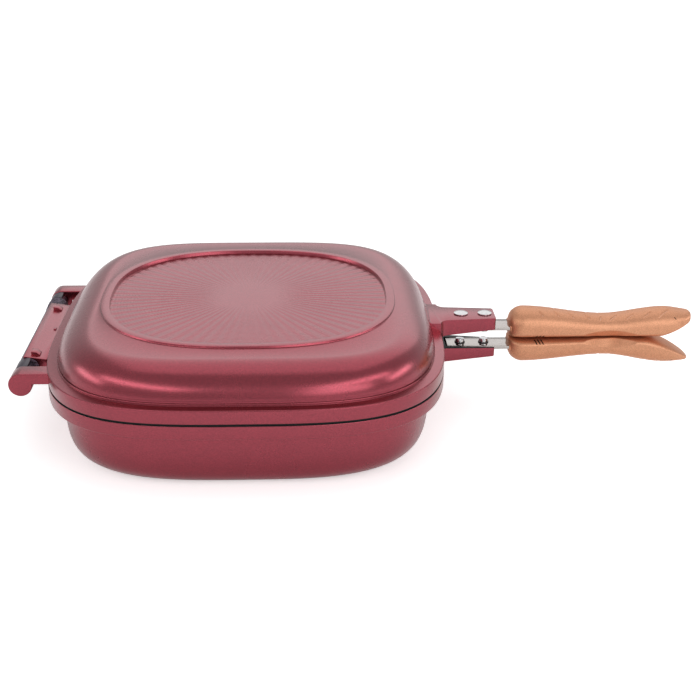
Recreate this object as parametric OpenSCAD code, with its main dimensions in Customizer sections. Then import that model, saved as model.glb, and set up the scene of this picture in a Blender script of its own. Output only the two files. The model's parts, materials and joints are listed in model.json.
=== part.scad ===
// Double sided flip pan: two cast pans that close rim to rim, hinged on the left (-X) and
// held at the right (+X) by two riveted steel tangs with moulded grips.
// Millimetres. +Z is up, the origin is the centre of the flat base, +X points to the grips.

/* [Rims] */
// Width of both rims along X, from the hinge side to the grip side
rim_w = 288; // [250:1:330]
// Depth of both rims along Y, from the front edge to the back edge
rim_d = 320; // [280:1:360]
// Squareness of the rim outline, where 2 is an ellipse and a higher value is squarer
rim_square = 3.4; // [2.8:0.1:4.6]
// Thickness of each rim
rim_t = 10; // [8:0.5:13]
// Gap between the two rims when the pan is shut
seam_gap = 1; // [0.6:0.1:1.6]

/* [Lower pan] */
// Height of the lower pan, from its flat base to its rim face
lower_h = 53; // [44:1:70]
// Overhang of the lower rim past the wall under it
ledge_w = 11.6; // [9:0.2:14]
// Thickness of the lower wall
lower_wall = 3; // [2:0.25:4]
// Thickness of the lower pan's floor
floor_t = 4.5; // [3:0.5:7]
// How far the wall draws in from the ledge to the edge of the flat base
base_inset = 28; // [18:1:36]
// Shape of the corner between wall and base, where 2 is round and a higher value is tighter
base_curve = 3.7; // [2:0.1:5]
// Squareness of the wall's outline under the ledge
ledge_square = 3.9; // [3:0.1:4.6]
// Squareness of the flat base's outline
base_square = 2.4; // [2:0.1:3.4]

/* [Upper pan] */
// Height of the upper pan, from its rim face to the flat of its roof
upper_h = 33.5; // [28:0.5:45]
// Width of the flange outside the dome
flange_w = 7.6; // [6:0.2:9]
// Thickness of the upper wall
upper_wall = 3; // [2:0.25:4]
// Thickness of the roof beside its raised ring
roof_t = 4; // [3:0.25:6]
// Height of the moulding round the foot of the dome
bead_h = 1.9; // [1:0.1:3]
// How far that moulding stands out from the dome
bead_w = 0.8; // [0.3:0.1:1.4]
// How far the dome draws in from the flange to the flat of the roof
dome_inset = 25.6; // [20:0.1:30]
// Squareness of the outline where the roof goes flat
roof_square = 4.3; // [3:0.1:5]

/* [Roof panel] */
// Flat of the roof left outside the raised ring, at the hinge and at the grips
ring_side = 1.3; // [0.6:0.1:12]
// Flat of the roof left outside the raised ring, at the front and at the back
ring_front = 16.8; // [0.6:0.1:24]
// Squareness of the raised ring's outline
ring_square = 2.5; // [2:0.1:3.4]
// Width of the raised ring's flat land
ring_land = 6.4; // [3:0.2:10]
// Height of the raised ring over the roof
ring_rise = 1.5; // [0.8:0.1:2.5]
// Depth of the panel inside the ring, below the top of the ring
panel_drop = 2.6; // [1.2:0.1:3]
// Number of rays cast on the panel
ray_count = 72; // [36:4:96]
// Height of the rays over the panel
ray_rise = 0.5; // [0.3:0.1:0.9]
// Radius at the centre of the panel where the rays start
ray_start = 26; // [15:1:40]

/* [Gasket] */
// Distance from the rim's outer edge to the gasket groove
groove_inset = 4.5; // [3.5:0.1:5]
// Width of the gasket groove
groove_w = 3; // [2:0.1:3.2]
// Depth of the gasket groove in the upper rim
groove_h = 2.8; // [2:0.1:3]
// Distance from the rim's outer edge to the gasket's lip
lip_inset = 0.8; // [0.4:0.1:1.5]
// Width of the gasket's lip
lip_w = 8.6; // [8.1:0.1:9]

/* [Hinge] */
// Distance from the rim's outer edge to the hinge axis
hinge_reach = 13.2; // [12.4:0.1:16]
// Length of the hinge over both arms
hinge_span = 188; // [170:1:200]
// How far the hinge's middle sits behind the middle of the pans
hinge_shift = 3; // [0:0.5:4]
// Width of each hinge arm along Y
arm_w = 15; // [12:0.5:20]
// Radius of the round knuckle at the end of each arm
knuckle_r = 8.3; // [7.8:0.1:9]
// Thickness of metal left behind the blind end of the pin's hole
blind_t = 4; // [3:0.5:6]
// Length of the leaf between the arms
leaf_len = 113; // [90:1:120]
// How far the leaf sits to the front of the hinge's middle
leaf_shift = 5.5; // [0:0.5:7]
// Outer radius of the leaf under the hinge axis
leaf_r = 8.6; // [8.2:0.1:9]
// Radius of the hinge sleeve
sleeve_r = 6.4; // [5.8:0.1:6.6]
// Radius of the sleeve's collar, behind the leaf
collar_r = 8.4; // [7.6:0.1:9]
// Length of the sleeve's collar, behind the leaf
collar_len = 14; // [5:0.5:15]
// Radius of the spacers in the gaps beside the leaf
spacer_r = 7.9; // [6.6:0.1:8.2]
// Radius that is left of a spacer where it is cut away towards the pans
spacer_cut_r = 5.2; // [4.2:0.1:5.4]
// Radius of the hinge pin
pin_r = 3; // [2:0.1:3.6]
// Height of each stop block over the leaf's outer edge
block_h = 2.2; // [0.5:0.1:2.4]
// Length of each stop block on the leaf, along Y
block_len = 10; // [6:0.5:14]
// Length of the small block at the middle of the leaf, along Y
nub_len = 4; // [2:0.5:8]

/* [Lugs] */
// Length of each lug, from the rim's outer edge to its end
lug_len = 43; // [38:1:52]
// Width of each lug at its end
lug_w = 25.4; // [24:0.2:32]
// Height of each lug's outer face over its rim face
lug_h = 16.5; // [15.4:0.1:20]
// Radius of the fillets where a lug meets its rim
lug_fillet = 7; // [3:0.5:10]
// Radius of a lug's end corners
lug_corner = 2; // [1:0.25:4]
// Height over the rim face where a lug's side walls start
skirt_root = 3.2; // [3.1:0.1:4.5]
// Height over the rim face where a lug's side walls start at its end
skirt_end = 7.4; // [5:0.1:8]
// How much thinner the lower lug is at its end than at its root
lower_lug_drop = 3.2; // [0:0.1:4]

/* [Tangs] */
// Width of the steel tang
tang_w = 18.6; // [14:0.2:19]
// Thickness of the steel tang
tang_t = 2.4; // [1.6:0.1:3]
// Height of the tang's inner face over its rim face
tang_z = 5.9; // [5:0.1:7]
// Distance from the rim's outer edge to the tang's first end
tang_start = 7; // [4:0.5:9]
// Length of the tang inside its grip
tang_held = 58; // [40:1:60]
// Radius of the hole that locks the tang in its grip
lock_r = 3; // [2:0.25:5]

/* [Rivets] */
// Radius of a rivet's shank
rivet_r = 2.5; // [2:0.1:3]
// Radius of a rivet's domed head
rivet_head_r = 5.4; // [4.5:0.1:6]
// Height of a rivet's domed head
rivet_head_h = 2.2; // [1.5:0.1:3]
// Distance from the rim's outer edge to the first rivet
rivet_start = 17.3; // [16:0.1:20]
// Distance between the two rivets of a lug
rivet_pitch = 18.3; // [14:0.1:19]
// Radius of the washer under a rivet's closed end
washer_r = 4; // [3.8:0.1:5]
// Thickness of the washer under a rivet's closed end
washer_t = 0.8; // [0.5:0.1:1.2]
// Radius of a rivet's closed end
tail_r = 3.3; // [2.9:0.1:3.6]
// Height of a rivet's closed end
tail_h = 2.6; // [1:0.1:3]

/* [Grips] */
// Gap between a lug's end and its grip
grip_gap = 11; // [8:0.5:20]
// Length of a grip
grip_len = 141; // [130:1:170]
// Height of a grip over its mating face at the front bulge
bulge_h = 21.4; // [18:0.2:26]
// Height of a grip over its mating face at the waist
waist_h = 15; // [14:0.2:17]
// Height of a grip over its mating face at the tail
tail_top = 20.8; // [18:0.2:26]
// Half width of a grip at the front bulge
bulge_r = 15; // [12:0.2:18]
// Half width of a grip at the waist
waist_r = 12.8; // [11.5:0.1:15]
// Half width of a grip at the tail
tail_w = 14.6; // [12:0.2:18]
// Height of the finger scoops along the edges of a grip's mating face
scoop_h = 6.2; // [3:0.2:7]
// Length of those finger scoops
scoop_len = 52; // [36:1:52]
// Height that a grip's tail turns away from its mating face
flare_h = 15.4; // [10:0.2:16]
// Length of a grip's turned tail
flare_len = 37; // [30:1:40]

/* [Magnets] */
// Radius of the magnet in each grip
magnet_r = 5; // [3:0.5:6]
// Thickness of the magnet in each grip
magnet_t = 3; // [2:0.25:4]
// Distance from a grip's front end to its magnet's centre
magnet_at = 38; // [30:1:48]

/* [Hidden] */

// colours
rose = [0.50, 0.16, 0.19];
black = [0.05, 0.05, 0.06];
dark = [0.16, 0.16, 0.17];
steel = [0.75, 0.75, 0.77];
copper = [0.80, 0.49, 0.36];

// clearances
seat_gap = 0.1;       // the gasket's lip over the lower rim, and a magnet or a tang in its pocket
groove_play = 0.1;    // each side of the gasket's root in its groove
turn_gap = 0.05;      // radial, between the pin and what turns on it
press_gap = 0.02;     // radial, between the pin and the arms that hold it
end_gap = 0.2;        // along the hinge axis, between what turns and what stands still
hole_gap = 0.1;       // radial, round a rivet
channel_gap = 0.3;    // each side of a tang in its lug
tail_bevel = 0.6;     // round the closed end of a rivet
merge = 0.6;          // how far a casting's branch runs into the body that it grows from

// resolution
ring_pts = 96;        // points round a pan's outline
wall_steps = 11;      // rings down a pan's wall
section_pts = 32;     // points round a grip's section
station_step = 4;     // distance between a grip's sections

// the seam plane, and where the parts sit along X
seam_z = lower_h + seam_gap / 2;
axis_x = -(rim_w / 2 + hinge_reach);
rim_x = rim_w / 2;
lug_end_x = rim_x + lug_len;
rivet_x = [rim_x + rivet_start, rim_x + rivet_start + rivet_pitch];
grip_x = lug_end_x + grip_gap;
tang_x = [rim_x + tang_start, grip_x + tang_held];
lock_x = grip_x + tang_held - 4 * lock_r;
magnet_x = grip_x + magnet_at;

// half sizes of the raised ring, which follows the flat of the roof
ring_a = rim_w / 2 - flange_w - dome_inset - ring_side;
ring_b = rim_d / 2 - flange_w - dome_inset - ring_front;

// the hinge along Y
hinge_y = [hinge_shift - hinge_span / 2, hinge_shift + hinge_span / 2];
arm_in_y = [hinge_y[0] + arm_w, hinge_y[1] - arm_w];
leaf_mid_y = hinge_shift - leaf_shift;
leaf_y = [leaf_mid_y - leaf_len / 2, leaf_mid_y + leaf_len / 2];
collar_y = leaf_y[1] + collar_len;
block_y = [leaf_y[0] + block_len / 3, leaf_y[1] - 1.7 * block_len];

// the lower rivets seat on spot faces that are flat where the lower lug tapers
lower_seat = lug_h - lower_lug_drop - 0.1;
spot_r = rivet_head_r + 0.6;

// ---- outlines and lofts -----------------------------------------------------------------

function power(v, p) = sign(v) * pow(abs(v), p);

// a closed outline between an ellipse (n = 2) and a rectangle, with half sizes a and b
function outline(a, b, n) = [
    for (i = [0:ring_pts - 1])
        let (t = 360 * i / ring_pts)
            [a * power(cos(t), 2 / n), b * power(sin(t), 2 / n)]
];

// the rim's outline, drawn in by an inset
function rim_outline(inset) = outline(rim_w / 2 - inset, rim_d / 2 - inset, rim_square);

// One ring of a pan is [inset from the rim's half sizes, squareness, height].
// The rings of a curved wall, which leaves its foot upright and meets a flat level.
function wall(inset, foot_z, end_z, draw, curve, foot_square, end_square) = [
    for (k = [0:wall_steps])
        let (t = 90 * k / wall_steps, u = 1 - pow(cos(t), 2 / curve))
            [inset + draw * u,
             foot_square + (end_square - foot_square) * u,
             foot_z + (end_z - foot_z) * pow(sin(t), 2 / curve)]
];

// a list in the opposite order
function turned(list) = [for (i = [len(list) - 1:-1:0]) list[i]];

// joins outlines of equal length, given as lists of points, into one solid with flat ends
module loft(rings) {
    n = len(rings[0]);
    last = (len(rings) - 1) * n;
    sides = [
        for (k = [0:len(rings) - 2])
            for (i = [0:n - 1])
                let (a = k * n + i, b = k * n + (i + 1) % n)
                    each [[a, b, b + n], [a, b + n, a + n]]
    ];
    first_end = [for (i = [0:n - 1]) n - 1 - i];
    last_end = [for (i = [0:n - 1]) last + i];
    polyhedron([for (r = rings) each r], concat(sides, [first_end, last_end]));
}

// one pan ring as points; a ring with four values gives both half sizes itself
function ring_points(r) =
    let (
        own = len(r) == 4,
        a = own ? r[0] : rim_w / 2 - r[0],
        b = own ? r[1] : rim_d / 2 - r[0],
        n = own ? r[2] : r[1],
        z = own ? r[3] : r[2]
    )
    [for (p = outline(a, b, n)) [p[0], p[1], z]];

// a cast pan, rim face down at z = 0: from the middle of its face out, down and back inside
module pan_shell(face, outer_wall, inner_wall) {
    edge = 0.6;
    rim = [
        [edge, rim_square, rim_t],
        [0, rim_square, rim_t - edge],
        [0, rim_square, edge],
        [edge, rim_square, 0],
        [inner_wall[0][0], inner_wall[0][1], 0],
    ];
    rings = concat(face, turned(outer_wall), rim, inner_wall);
    loft([for (r = rings) ring_points(r)]);
}

// a flat band that follows the rim
module rim_band(outer_inset, inner_inset, height) {
    linear_extrude(height)
        difference() {
            polygon(rim_outline(outer_inset));
            polygon(rim_outline(inner_inset));
        }
}

// ---- places -----------------------------------------------------------------------------

// the upper half is drawn with its rim face at z = 0, and the lower half is its mirror image
module upper_side() {
    translate([0, 0, seam_z + seam_gap / 2]) children();
}

module lower_side() {
    translate([0, 0, seam_z - seam_gap / 2]) mirror([0, 0, 1]) children();
}

// shapes drawn in the XZ plane about the hinge axis, extruded from y0 to y1
module on_axis(y0, y1) {
    translate([axis_x, y1, seam_z]) rotate([90, 0, 0]) linear_extrude(y1 - y0) children();
}

// a round bar along the hinge axis from y0 to y1
module axis_bar(r, y0, y1) {
    translate([axis_x, y1, seam_z]) rotate([90, 0, 0]) cylinder(r = r, h = y1 - y0, $fn = 64);
}

// ---- the lugs ---------------------------------------------------------------------------

// quarter circle points about a centre, from angle t0 to t1
function arc(cx, cy, r, t0, t1) = [
    for (k = [0:6]) let (t = t0 + (t1 - t0) * k / 6) [cx + r * cos(t), cy + r * sin(t)]
];

// one lug's outline in plan, from root_x to its end, with root fillets and end corners
module lug_plan(root_x) {
    half = lug_w / 2;
    side = concat(
        [[root_x, half + lug_fillet]],
        arc(rim_x + lug_fillet, half + lug_fillet, lug_fillet, 180, 270),
        arc(lug_end_x - lug_corner, half - lug_corner, lug_corner, 90, 0)
    );
    polygon(concat(side, [for (p = turned(side)) [p[0], -p[1]]]));
}

// one lug: an outer plate with two side walls, a channel for the tang and two rivet holes
module lug(root_x, drop) {
    reach = lug_end_x + 1;
    half = lug_w / 2 + lug_fillet + 1;
    channel = tang_w / 2 + channel_gap;
    difference() {
        translate([0, 0, skirt_root]) linear_extrude(lug_h - skirt_root) lug_plan(root_x);
        // the side walls get lower towards the end
        translate([0, half, 0]) rotate([90, 0, 0]) linear_extrude(2 * half)
            polygon([[rim_x, 0], [reach, 0], [reach, skirt_end], [rim_x + 1, skirt_root]]);
        // the channel for the tang
        translate([tang_x[0] - 1.5, -channel, 0])
            cube([reach - tang_x[0] + 1.5, 2 * channel, tang_z + tang_t]);
        // the outer face slopes on the lower lug
        if (drop > 0)
            translate([0, half, 0]) rotate([90, 0, 0]) linear_extrude(2 * half)
                polygon([[rim_x, lug_h], [reach, lug_h - drop], [reach, lug_h + 1], [rim_x, lug_h + 1]]);
        for (x = rivet_x) {
            translate([x, 0, 0]) cylinder(r = rivet_r + hole_gap, h = lug_h + 1, $fn = 48);
            if (drop > 0) translate([x, 0, lower_seat]) cylinder(r = spot_r, h = lug_h, $fn = 64);
        }
    }
}

// ---- the pans ---------------------------------------------------------------------------

// the leaf between the arms: a plate over a barrel that is open on its outer side, so that
// the sleeve shows
module hinge_leaf() {
    root = hinge_reach + ledge_w / 2;
    outer = hinge_reach - 0.8;
    bottom = -rim_t - seam_gap / 2 + 0.2;
    top = -seam_gap / 2 - 0.1;
    shoulder = 0.46 * leaf_r;
    edge_x = -0.76 * sleeve_r;
    edge_z = leaf_r - 0.2;
    barrel = [for (k = [0:8]) let (t = 232 + 38 * k / 8) [leaf_r * cos(t), leaf_r * sin(t)]];
    difference() {
        on_axis(leaf_y[0], leaf_y[1])
            polygon(concat(
                [[root, bottom], [root, top], [outer, top], [outer - 1.2, shoulder],
                 [0.2 * leaf_r, edge_z], [edge_x, edge_z], [edge_x, 0]],
                barrel,
                [[outer - 3, bottom]]
            ));
        axis_bar(sleeve_r + turn_gap, leaf_y[0] - 1, leaf_y[1] + 1);
    }
    // the two stop blocks and the small one between them
    for (y = block_y) on_axis(y, y + block_len)
        polygon([[0.14 * leaf_r, edge_z - 1], [0.14 * leaf_r, edge_z + block_h],
                 [0.7 * leaf_r, edge_z + block_h - 0.8], [leaf_r, edge_z - 0.4], [leaf_r, shoulder - 1]]);
    on_axis(-nub_len / 2, nub_len / 2)
        polygon([[outer - 4, shoulder - 1], [outer - 4, shoulder + 2], [outer - 1.8, shoulder + 1.6],
                 [outer - 1.8, shoulder - 1]]);
}

module lower_pan() {
    wall_top = rim_t;
    outer_wall = wall(ledge_w, wall_top, lower_h, base_inset, base_curve, ledge_square, base_square);
    inner_wall = concat(
        [[ledge_w + lower_wall, ledge_square, 0]],
        wall(ledge_w + lower_wall, wall_top, lower_h - floor_t, base_inset - lower_wall,
             base_curve, ledge_square, base_square)
    );
    color(rose) {
        lower_side() {
            pan_shell([], outer_wall, inner_wall);
            lug(rim_x - ledge_w - lower_wall + merge, lower_lug_drop);
        }
        hinge_leaf();
    }
}

// one arm of the upper pan, with its round knuckle, from y0 to y1
module hinge_arm(y0, y1) {
    low = seam_gap / 2;
    on_axis(y0, y1) {
        circle(r = knuckle_r, $fn = 96);
        translate([0, low]) square([hinge_reach + groove_inset + 3, knuckle_r - low]);
    }
}

// the rays on the panel, as one star
module rays() {
    reach_a = ring_a - ring_land - 3;
    reach_b = ring_b - ring_land - 3;
    pitch = 360 / ray_count;
    polygon([
        for (i = [0:ray_count - 1])
            let (t = i * pitch)
                each [
                    [reach_a * cos(t - 0.27 * pitch), reach_b * sin(t - 0.27 * pitch)],
                    [reach_a * cos(t + 0.27 * pitch), reach_b * sin(t + 0.27 * pitch)],
                    [ray_start * cos(t + 0.5 * pitch), ray_start * sin(t + 0.5 * pitch)],
                ]
    ]);
}

module upper_pan() {
    ring_top = upper_h + ring_rise;
    panel_z = ring_top - panel_drop;
    slope = 0.5;
    face = [
        [ring_a - ring_land - slope, ring_b - ring_land - slope, ring_square, panel_z],
        [ring_a - ring_land, ring_b - ring_land, ring_square, ring_top],
        [ring_a - slope, ring_b - slope, ring_square, ring_top],
        [ring_a, ring_b, ring_square, upper_h],
    ];
    dome = wall(flange_w, rim_t, upper_h, dome_inset, 2, rim_square, roof_square);
    outer_wall = concat(
        [[flange_w - bead_w, rim_square, rim_t], [flange_w - bead_w, rim_square, rim_t + bead_h]],
        [[flange_w, rim_square, rim_t + bead_h]],
        [for (k = [1:wall_steps]) dome[k]]
    );
    inner_wall = concat(
        [[flange_w + upper_wall, rim_square, 0]],
        wall(flange_w + upper_wall, rim_t, upper_h - roof_t, dome_inset - upper_wall,
             2, rim_square, roof_square)
    );
    color(rose) {
        difference() {
            union() {
                upper_side() {
                    pan_shell(face, outer_wall, inner_wall);
                    lug(rim_x - flange_w - upper_wall + merge, 0);
                    translate([0, 0, panel_z - merge]) linear_extrude(merge + ray_rise) rays();
                }
                hinge_arm(hinge_y[0], arm_in_y[0]);
                hinge_arm(arm_in_y[1], hinge_y[1]);
            }
            // the gasket's groove
            upper_side() translate([0, 0, -1]) rim_band(groove_inset, groove_inset + groove_w, groove_h + 1);
            // the pin's hole, blind in the front knuckle
            axis_bar(pin_r + press_gap, hinge_y[0] + blind_t, hinge_y[1] + 1);
        }
    }
}

// ---- what the pans carry ----------------------------------------------------------------

module rim_gasket() {
    color(black) upper_side() {
        translate([0, 0, seat_gap - seam_gap]) rim_band(lip_inset, lip_inset + lip_w, seam_gap - seat_gap);
        rim_band(groove_inset + groove_play, groove_inset + groove_w - groove_play, groove_h - groove_play);
    }
}

module hinge_pin() {
    color(steel) axis_bar(pin_r, hinge_y[0] + blind_t + end_gap, hinge_y[1] - 0.5);
}

// a tube on the pin
module pin_tube(r, y0, y1) {
    difference() {
        axis_bar(r, y0, y1);
        axis_bar(pin_r + turn_gap, y0 - 1, y1 + 1);
    }
}

module hinge_sleeve() {
    color(dark) {
        pin_tube(sleeve_r, leaf_y[0], collar_y);
        pin_tube(collar_r, leaf_y[1] + end_gap, collar_y);
    }
}

// a spacer: a tube that is cut away to a smaller radius on its side towards the pans
module spacer(y0, y1) {
    color(black) {
        pin_tube(spacer_cut_r, y0, y1);
        difference() {
            pin_tube(spacer_r, y0, y1);
            on_axis(y0 - 1, y1 + 1)
                polygon([[0, 0], 2 * spacer_r * [cos(-62), sin(-62)], 2 * spacer_r * [1, 0],
                         2 * spacer_r * [cos(70), sin(70)]]);
        }
    }
}

module front_spacer() { spacer(arm_in_y[0], leaf_y[0] - end_gap); }
module rear_spacer() { spacer(collar_y + end_gap, arm_in_y[1]); }

module tang() {
    difference() {
        translate([tang_x[0], -tang_w / 2, tang_z]) cube([tang_x[1] - tang_x[0], tang_w, tang_t]);
        for (x = rivet_x)
            translate([x, 0, 0]) cylinder(r = rivet_r + hole_gap, h = lug_h, $fn = 48);
        translate([lock_x, 0, 0]) cylinder(r = lock_r, h = lug_h, $fn = 48);
    }
}

// a rivet that seats its head at a height over the rim face
module rivet(x, seat) {
    dome_r = (rivet_head_r * rivet_head_r + rivet_head_h * rivet_head_h) / (2 * rivet_head_h);
    tail_z = tang_z - washer_t - tail_h;
    translate([x, 0, 0]) {
        translate([0, 0, tail_z]) cylinder(r = rivet_r, h = seat - tail_z, $fn = 48);
        translate([0, 0, tail_z]) cylinder(r1 = tail_r - tail_bevel, r2 = tail_r, h = tail_bevel, $fn = 48);
        translate([0, 0, tail_z + tail_bevel]) cylinder(r = tail_r, h = tail_h - tail_bevel, $fn = 48);
        translate([0, 0, seat]) intersection() {
            translate([0, 0, rivet_head_h - dome_r]) sphere(r = dome_r, $fn = 96);
            cylinder(r = rivet_head_r + 1, h = rivet_head_h + 1, $fn = 48);
        }
    }
}

module washer(x) {
    translate([x, 0, tang_z - washer_t]) difference() {
        cylinder(r = washer_r, h = washer_t, $fn = 48);
        translate([0, 0, -1]) cylinder(r = rivet_r + hole_gap, h = washer_t + 2, $fn = 48);
    }
}

// ---- the grips --------------------------------------------------------------------------

// a smooth step from 0 to 1
function ease(v) = let (t = min(1, max(0, v))) t * t * (3 - 2 * t);

// a value along the grip, eased between [place, value] pairs
function along(pairs, x) =
    let (
        n = len(pairs),
        i = max([0, for (k = [0:n - 2]) if (x >= pairs[k][0]) k]),
        p = pairs[i],
        q = pairs[i + 1]
    )
    p[1] + (q[1] - p[1]) * ease((x - p[0]) / (q[0] - p[0]));

// the places along a grip that its shape turns at
bulge_at = 11;
waist_at = 74;
tail_at = 120;
scoop_at = waist_at + 5;

// a quarter round at each end: 0 at the end and 1 past a length
function rounded(v, length) = let (t = min(1, max(0, v / length))) sqrt(1 - (1 - t) * (1 - t));

// top, bottom and half width of a grip at a distance from its front end
function grip_top(x) =
    let (
        crown = along([[0, bulge_h - 1], [bulge_at, bulge_h], [waist_at, waist_h],
                       [tail_at, tail_top], [grip_len, tail_top - 2.4]], x),
        nose = 7 * (1 - rounded(x, 10))
    )
    crown - nose;

function grip_bottom(x) = flare_h * pow(max(0, (x - grip_len + flare_len) / flare_len), 1.6);

// height of the scoops' outer edge over the mating face
function scoop_edge(x) =
    let (into = min(1, max(0, (x - scoop_at + scoop_len / 2) / scoop_len)))
    scoop_h * pow(sin(180 * into), 0.9);

function grip_half(x) =
    let (
        side = along([[0, bulge_r - 1], [bulge_at, bulge_r], [waist_at, waist_r],
                      [tail_at, tail_w], [grip_len, tail_w - 1]], x),
        nose = 3 * (1 - rounded(x, 10)),
        tip = 10 * (1 - rounded(grip_len - x, 12))
    )
    side - nose - tip;

// a section: round over the top, nearly flat on the mating face, with softened edges that
// the finger scoops cut away at a slope
function grip_section(x) =
    let (
        top = grip_top(x),
        bottom = grip_bottom(x),
        half = grip_half(x),
        belt = bottom + 0.28 * (top - bottom)
    )
    [
        for (i = [0:section_pts - 1])
            let (
                t = 360 * i / section_pts,
                n = 2 / (sin(t) >= 0 ? 2.4 : 3.6),
                y = half * power(cos(t), n),
                z = belt + (sin(t) >= 0 ? top - belt : belt - bottom) * power(sin(t), n)
            )
                [grip_x + x, y, max(z, scoop_edge(x) - 0.8 * (half - abs(y)))]
    ];

// where the sections are cut: closer together at the two ends
function grip_stations() = concat(
    [0, 0.6, 1.6, 3, 5],
    [for (x = [8:station_step:grip_len - 10]) x],
    [grip_len - 6.5, grip_len - 4, grip_len - 2, grip_len - 0.8, grip_len]
);

module grip() {
    slot_w = tang_w + seat_gap;
    slot_t = tang_t + seat_gap;
    difference() {
        loft([for (x = grip_stations()) grip_section(x)]);
        // the slot that holds the tang, with the moulding's plug left in the tang's locking hole
        difference() {
            translate([grip_x - 1, -slot_w / 2, tang_z - seat_gap / 2])
                cube([tang_held + 1 + seat_gap, slot_w, slot_t]);
            translate([lock_x, 0, 0]) cylinder(r = lock_r - seat_gap / 2, h = lug_h, $fn = 48);
        }
        // the magnet's pocket
        translate([magnet_x, 0, -1])
            cylinder(r = magnet_r + seat_gap / 2, h = magnet_t + 1, $fn = 64);
    }
}

module magnet() {
    translate([magnet_x, 0, 0]) cylinder(r = magnet_r, h = magnet_t, $fn = 64);
}

// ---- the nodes --------------------------------------------------------------------------

module lower_tang() { color(steel) lower_side() tang(); }
module upper_tang() { color(steel) upper_side() tang(); }
module lower_rivet(x) { color(steel) lower_side() rivet(x, lower_seat); }
module upper_rivet(x) { color(steel) upper_side() rivet(x, lug_h); }
module lower_washer(x) { color(dark) lower_side() washer(x); }
module upper_washer(x) { color(dark) upper_side() washer(x); }
module lower_grip() { color(copper) lower_side() grip(); }
module upper_grip() { color(copper) upper_side() grip(); }
module lower_magnet() { color(dark) lower_side() magnet(); }
module upper_magnet() { color(dark) upper_side() magnet(); }

lower_pan();
upper_pan();
rim_gasket();
hinge_pin();
hinge_sleeve();
front_spacer();
rear_spacer();
lower_tang();
upper_tang();
lower_rivet(rivet_x[0]);  // lower_inner_rivet
lower_rivet(rivet_x[1]);  // lower_outer_rivet
upper_rivet(rivet_x[0]);  // upper_inner_rivet
upper_rivet(rivet_x[1]);  // upper_outer_rivet
lower_washer(rivet_x[0]);  // lower_inner_washer
lower_washer(rivet_x[1]);  // lower_outer_washer
upper_washer(rivet_x[0]);  // upper_inner_washer
upper_washer(rivet_x[1]);  // upper_outer_washer
lower_grip();
upper_grip();
lower_magnet();
upper_magnet();
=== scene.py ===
"""Looks of a double sided flip pan: two rose coated cast pans, hinged rim to rim, with copper grips.

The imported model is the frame. Shapes are worked out in millimetres and turned into metres when
a mesh is made, and every piece rides on the body of the CAD nodes that it stands for.
"""

import json
import logging
import math
from dataclasses import dataclass, field, replace
from enum import Enum
from typing import Iterable, Optional, Sequence, Union

import bmesh
import bpy
from mathutils import Matrix, Vector, noise


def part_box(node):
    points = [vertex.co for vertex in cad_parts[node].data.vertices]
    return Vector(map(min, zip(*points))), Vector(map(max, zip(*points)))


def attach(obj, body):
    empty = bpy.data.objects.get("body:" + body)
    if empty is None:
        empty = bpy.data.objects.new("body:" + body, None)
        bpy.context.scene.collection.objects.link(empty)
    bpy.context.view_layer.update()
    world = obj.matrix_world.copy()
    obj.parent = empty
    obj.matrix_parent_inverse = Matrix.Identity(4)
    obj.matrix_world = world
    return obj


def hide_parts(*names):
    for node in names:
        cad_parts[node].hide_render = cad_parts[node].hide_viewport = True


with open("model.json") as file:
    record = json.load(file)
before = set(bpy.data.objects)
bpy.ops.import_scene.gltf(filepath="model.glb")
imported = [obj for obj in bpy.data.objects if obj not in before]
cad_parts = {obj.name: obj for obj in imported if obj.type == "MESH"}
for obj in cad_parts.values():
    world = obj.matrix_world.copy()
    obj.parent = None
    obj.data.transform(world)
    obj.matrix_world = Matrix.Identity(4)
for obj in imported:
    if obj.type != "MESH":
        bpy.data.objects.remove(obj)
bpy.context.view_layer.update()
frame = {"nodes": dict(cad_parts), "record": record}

log = logging.getLogger("flip_pan")

MM = 0.001
# the least radius of a turned piece's ring, and how far a cutter reaches past a face, in millimetres
TINY = 0.01
OVER = 1.0

Point = tuple[float, float, float]
Point2 = tuple[float, float]
Ring = list[Point]
# an inset from the rim, a squareness and a height over the rim face
Contour = tuple[float, float, float]
Socket = bpy.types.NodeSocket
Level = Union[float, bpy.types.NodeSocket]


class Half(Enum):
    """Which pan a shape belongs to; the value is the way that its height grows from the seam."""

    UPPER = 1
    LOWER = -1

    @property
    def body(self) -> str:
        """The frame's body that this half rides on."""
        return "lid" if self is Half.UPPER else "lower"

    @property
    def prefix(self) -> str:
        """The first part of the names of this half's nodes."""
        return "upper" if self is Half.UPPER else "lower"


class Axis(Enum):
    """The direction that a turned piece stands along."""

    Y = "Y"
    Z = "Z"


# ---- shader groups ------------------------------------------------------------------------


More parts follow.
